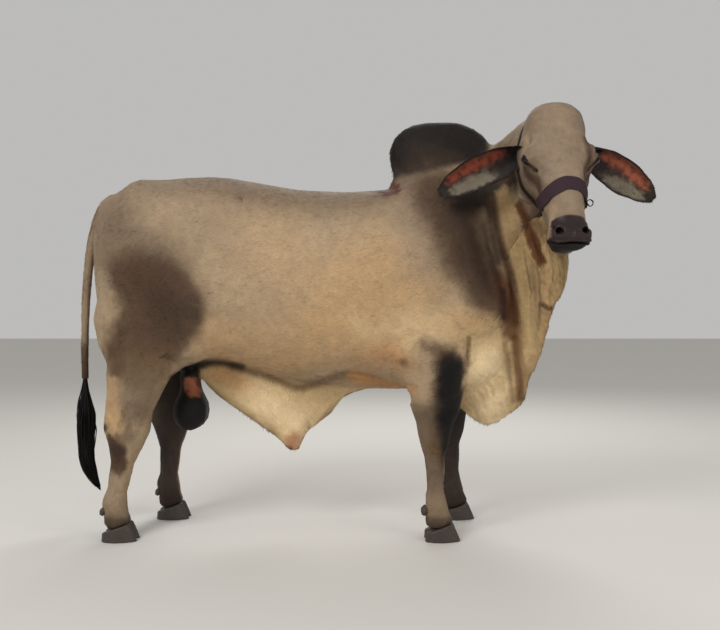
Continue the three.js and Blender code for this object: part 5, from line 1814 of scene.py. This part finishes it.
@dataclass
class Hooves:
    """Claws and dewclaws of dark horn, with rings of growth."""

    ring: float = 8.5
    ring_deep: float = 0.45

    def build(self, finish: Material) -> None:
        """Makes a smooth piece of each claw."""
        for name in [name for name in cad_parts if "claw" in name]:
            claw = merged_copy(name)
            claw.name = f"horn_{name}"
            finish_with(claw, "SUBSURF", levels=3, render_levels=3, subdivision_type="SIMPLE")
            finish_with(claw, "SMOOTH", factor=0.5, iterations=9)
            points = coordinates(claw.data)
            facing = normals(claw.data)
            down = points[:, 2] / MM + 0.25 * points[:, 0] / MM
            side = np.clip(1 - np.abs(facing[:, 2]) * 1.4, 0, 1)
            lift = self.ring_deep * np.sin(2 * math.pi * down / self.ring) * side
            points += facing * lift[:, None] * MM
            points[:, 2] = np.maximum(points[:, 2], 0.0)
            set_coordinates(claw.data, points)
            select_only(claw)
            bpy.ops.object.shade_smooth()
            dress(claw, finish, "hoof_horn", name)
        log.info("claws made")


@dataclass
class TailSwitch:
    """The long black hair at the end of the tail, in tapered locks."""

    body: BodyFrame
    strands: int = 900
    rows: int = 14
    # Height, place along the body, and half width of the bunch
    outline: Line = (
        (690, 637, 594, 551, 487, 430, 380, 337, 294, 251, 209, 172, 152),
        (-1180, -1179, -1179, -1178, -1175, -1174, -1175, -1177, -1173, -1162, -1145, -1124, -1108),
        (9, 14, 21, 31, 40, 39, 35, 31, 31, 30, 22, 12, 3),
    )
    # Heights between which locks start, outside and deep in the bunch, and how long and thick they are
    tops: tuple[Pair, Pair] = ((430, 690), (560, 690))
    long: Pair = (240, 460)
    thick: Pair = (2.6, 4.2)

    def build(self, finish: Material) -> None:
        """Makes the locks as one piece."""
        rng = np.random.default_rng(31)
        high, along, half = np.array(self.outline)[:, ::-1]
        points, faces = [], []
        for _ in range(self.strands):
            angle = rng.uniform(0, 2 * math.pi)
            out = rng.uniform(0.15, 1.0) ** 0.6
            top = rng.uniform(*self.tops[0 if out > 0.4 else 1])
            bottom = max(150.0, top - rng.uniform(*self.long)) + 30 * out
            sway = rng.normal(scale=0.16, size=2)
            fat = rng.uniform(*self.thick)
            base = len(points)
            for row in range(self.rows + 1):
                t = row / self.rows
                z = top + (bottom - top) * t
                middle = np.interp(z, high, along)
                reach = np.interp(z, high, half)
                share = out * min(1.0, 0.25 + 1.6 * t) * (1 - 0.25 * t * t)
                x = middle + reach * (math.cos(angle) * share + sway[0] * t)
                y = 0.72 * reach * (math.sin(angle) * share + sway[1] * t) + 2
                thick = fat * (1 - t) ** 0.6 + 0.25
                for k in range(3):
                    turn = angle + k * 2 * math.pi / 3
                    points.append((x + math.cos(turn) * thick, y + math.sin(turn) * thick, z))
            for row in range(self.rows):
                for k in range(3):
                    a, b = base + row * 3 + k, base + row * 3 + (k + 1) % 3
                    faces.append((a, a + 3, b))
                    faces.append((b, a + 3, b + 3))
            last = base + self.rows * 3
            faces.append((base, base + 1, base + 2))
            faces.append((last + 2, last + 1, last))
        switch = from_arrays("switch_locks", self.body.row(np.array(points)), faces)
        in_edit_mode(switch, bpy.ops.mesh.normals_make_consistent, inside=False)
        bpy.ops.object.shade_smooth()
        dress(switch, finish, "switch_hair", "tail_switch")
        log.info("switch: %d triangles", count(switch))


@dataclass
class Halter:
    """A band of webbing round the nose and a strap up each cheek that meets behind the poll."""

    head: HeadFrame
    body: BodyFrame
    skin_piece: Object
    skin: Skin
    # Turns round the nose from its bridge to the bull's left, and how far down the face the band lies
    nose_turns: Line = (
        (-180, -150, -120, -90, -60, -35, -13, 0, 26, 47, 90, 120, 150, 180),
        (330, 342, 365, 385, 381, 372, 357, 352, 355, 367, 382, 365, 342, 330),
    )
    # The strap's way up the cheek, as places down the face and out of it, and the point it turns round
    cheek_line: tuple[Pair, ...] = (
        *((340, -206), (310, -190), (270, -182)),
        *((225, -180), (180, -188), (142, -202)),
    )
    behind_poll: Triple = (108.0, 0.0, -218.0)
    loop_at: Triple = (849.0, -556.0, 1338.0)
    loop_radius: float = 12.5
    cord_radius: float = 2.3
    nose_width: float = 54.0
    crown_width: float = 22.0
    # How far in from outside the head the straps are cast, and how far clear of the hide they lie
    far: float = 330.0
    clear: float = 1.8
    across: int = 9
    turns: int = 96
    tree: BVHTree = field(init=False)

    def loop(self, finish: Material) -> None:
        """Makes the small frayed cord loop at the noseband's left end."""
        ring = primitive(
            bpy.ops.mesh.primitive_torus_add,
            "frayed_loop",
            major_segments=48,
            minor_segments=12,
            major_radius=self.loop_radius * MM,
            minor_radius=self.cord_radius * MM,
            location=self.body.row(np.array(self.loop_at)),
            rotation=(math.radians(80), 0, math.radians(20)),
        )
        places = coordinates(ring.data)
        lay = np.stack([waves(places / MM, 16, seed, 6) for seed in (41, 42, 43)], axis=1)
        set_coordinates(ring.data, places + 0.9 * MM * lay)
        select_only(ring)
        bpy.ops.object.shade_smooth()
        dress(ring, finish, "halter_webbing")

    def watch(self, *regions: Region) -> None:
        """Takes note of the surface that the next strap lies on."""
        mesh = self.skin_piece.data
        here = self.skin.of(*regions) > 0.45
        points = self.body.own(coordinates(mesh))
        faces = [tuple(face.vertices) for face in mesh.polygons if all(here[i] for i in face.vertices)]
        self.tree = BVHTree.FromPolygons(points.tolist(), faces)

    def cast(self, origin: Array, ray: Array) -> float:
        """Finds how far out a ray leaves the head for the last time."""
        hit = self.tree.ray_cast(Vector(origin + ray * self.far), Vector(-ray), self.far)
        return self.far - hit[3] if hit[0] is not None else -1.0

    def band(self, name: str, rays: list, width: float, thick: float, closed: bool) -> Object:
        """Lays a strap over the skin.

        Args:
            name: The piece's name.
            rays: For each place along it, an inside point and an outward direction.
            width: Its width.
            thick: Its thickness.
            closed: Whether its ends join.

        Returns:
            The strap.
        """
        total = len(rays)
        middle = np.array([self.cast(origin, ray) for origin, ray in rays])
        known = np.nonzero(middle > 0)[0]
        middle = np.interp(np.arange(total), known, middle[known])
        line = np.array([origin + ray * reach for (origin, ray), reach in zip(rays, middle)])
        reaches = np.zeros((total, self.across))
        starts = np.zeros((total, self.across, 3))
        for i, (origin, ray) in enumerate(rays):
            before = line[i - 1] if closed else line[max(i - 1, 0)]
            after = line[(i + 1) % total] if closed else line[min(i + 1, total - 1)]
            sideways = np.cross(after - before, ray)
            sideways /= np.linalg.norm(sideways)
            for k in range(self.across):
                starts[i, k] = origin + sideways * (k / (self.across - 1) - 0.5) * width
                reach = self.cast(starts[i, k], ray)
                reaches[i, k] = reach if reach > 0 else middle[i]
        flat = np.median(reaches, axis=1)
        reaches = np.clip(reaches, flat[:, None] - 3, flat[:, None] + 5)
        for _ in range(4):
            if closed:
                reaches = (np.roll(reaches, 1, axis=0) + 2 * reaches + np.roll(reaches, -1, axis=0)) / 4
            else:
                reaches[1:-1] = (reaches[:-2] + 2 * reaches[1:-1] + reaches[2:]) / 4
        ways = np.array([ray for _, ray in rays])[:, None]
        points = (starts + ways * (reaches + self.clear)[:, :, None]).reshape(-1, 3)
        faces = []
        for i in range(total if closed else total - 1):
            for k in range(self.across - 1):
                a, b = i * self.across + k, (i + 1) % total * self.across + k
                faces.append((a, b, b + 1, a + 1))
        strap = from_arrays(name, self.body.row(points), faces)
        in_edit_mode(strap, bpy.ops.mesh.normals_make_consistent, inside=False)
        finish_with(strap, "SUBSURF", levels=1, render_levels=1)
        finish_with(strap, "SOLIDIFY", thickness=thick * MM, offset=1.0)
        finish_with(strap, "BEVEL", width=1.0 * MM, segments=2)
        select_only(strap)
        bpy.ops.object.shade_smooth()
        return strap

    def build(self, webbing: Material, leather: Material) -> None:
        """Makes the straps."""
        _, left, out = self.head.axes()
        nose = []
        for i in range(self.turns):
            angle = i / self.turns * 2 * math.pi
            turn = (math.degrees(angle) + 180) % 360 - 180
            origin = self.head.place(np.array([np.interp(turn, *self.nose_turns), 0, -90]))
            nose.append((origin, left * math.sin(angle) + out * math.cos(angle)))
        self.watch(Region.HEAD)
        band = self.band("noseband", nose, self.nose_width, 3.6, True)
        dress(band, webbing, "halter_webbing", "halter_noseband")
        up = np.array([0.0, 0.0, 1.0])
        poll = self.head.place(np.array(self.behind_poll))
        cheek = curve_through(self.cheek_line, 4)
        rays = [(self.head.place(np.array([u, 0, w])), left) for u, w in cheek]
        for turn in range(6, 180, 6):
            angle = math.radians(turn)
            rays.append((poll, left * math.cos(angle) + up * math.sin(angle)))
        rays += [(self.head.place(np.array([u, 0, w])), -left) for u, w in cheek[::-1]]
        self.watch(Region.HEAD, Region.NECK)
        crown = self.band("headstall", rays, self.crown_width, 3.5, False)
        dress(crown, leather, "halter_webbing", "halter_crown")
        self.loop(leather)
        log.info("halter: %d triangles", count(band) + count(crown))


@dataclass
class Studio:
    """A pale floor, soft light and a camera at the side."""

    body: BodyFrame
    sky: float = 0.62
    lens: float = 47.0
    pitch: float = 0.914
    lamps: tuple[tuple[str, Triple, Triple, float, float], ...] = (
        ("key", (-2.8, -4.4, 4.6), (0, 0, 0.9), 2.8, 210),
        ("fill", (3.8, -3.6, 2.6), (0.4, 0, 1.0), 3.0, 50),
        ("rim", (0.6, 4.0, 4.2), (0, 0, 1.2), 3.0, 110),
    )

    def build(self) -> None:
        """Makes the floor, the lights and the camera."""
        bpy.context.scene.view_settings.view_transform = "Standard"
        floor = primitive(bpy.ops.mesh.primitive_plane_add, "floor", size=40, location=(0, 0, -0.001))
        # A matt pale floor, such as painted board
        material, tree = new_material("matt_pale_floor")
        shader = add_node(tree, "BsdfPrincipled", {"Base Color": srgb("d2cfc9"), "Roughness": 0.9})
        add_node(tree, "OutputMaterial", {"Surface": shader.outputs[0]})
        floor.data.materials.append(material)
        world = bpy.context.scene.world or bpy.data.worlds.new("World")
        bpy.context.scene.world = world
        world.use_nodes = True
        sky = world.node_tree.nodes["Background"]
        sky.inputs["Color"].default_value = srgb("e9e8e6")
        sky.inputs["Strength"].default_value = self.sky
        for name, place, aim, size, power in self.lamps:
            lamp = bpy.data.lights.new(name, "AREA")
            lamp.shape = "DISK"
            lamp.size = size
            lamp.energy = power
            light = bpy.data.objects.new(name, lamp)
            light.location = place
            light.rotation_euler = (Vector(aim) - Vector(place)).to_track_quat("-Z", "Y").to_euler()
            bpy.context.scene.collection.objects.link(light)
        lens = bpy.data.cameras.new("camera")
        lens.sensor_width = 36
        lens.lens = self.lens
        camera = bpy.data.objects.new("camera", lens)
        camera.location = self.body.row(np.array([0.0, -self.body.stand_back, self.body.lens_height]))
        camera.rotation_euler = (math.radians(90 - self.pitch), 0, 0)
        bpy.context.scene.collection.objects.link(camera)
        bpy.context.scene.camera = camera


# Name, place, number, length and width in millimetres, and how steeply each batch of tufts stands
TUFTS = (
    ("coat_back", Where.TRUNK, 19_500, (15, 25), 1.9, (0.02, 0.09), 11),
    ("coat_flank", Where.TRUNK, 19_500, (12, 20), 1.7, (0.02, 0.08), 12),
    ("coat_margins", Where.EDGES, 19_500, (14, 24), 1.7, (0.05, 0.2), 13),
    ("coat_legs", Where.LEGS, 19_500, (8, 14), 1.4, (0.02, 0.1), 14),
    ("coat_face", Where.HEAD, 19_500, (5, 9), 1.1, (0.02, 0.08), 15),
    ("coat_ears", Where.EARS, 5_000, (8, 16), 1.1, (0.02, 0.14), 16),
)


def main() -> None:
    """Builds the bull and its studio."""
    logging.basicConfig(level=logging.INFO, format="%(message)s")
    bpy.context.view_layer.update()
    head = HeadFrame()
    body = BodyFrame.measured(head)
    coat = CoatFinish().build()
    hide, skin = Hide(body, head).build(coat)
    for tufts in TUFTS:
        Coat(hide, skin, *tufts).build(coat)
    Eyes(head, body).build(EyeFinish().build())
    Hooves().build(HORN.build())
    TailSwitch(body).build(HAIR.build())
    Halter(head, body, hide, skin).build(WEBBING.build(), STRAP.build())
    Studio(body).build()
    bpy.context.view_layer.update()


if __name__ == "__main__":
    main()
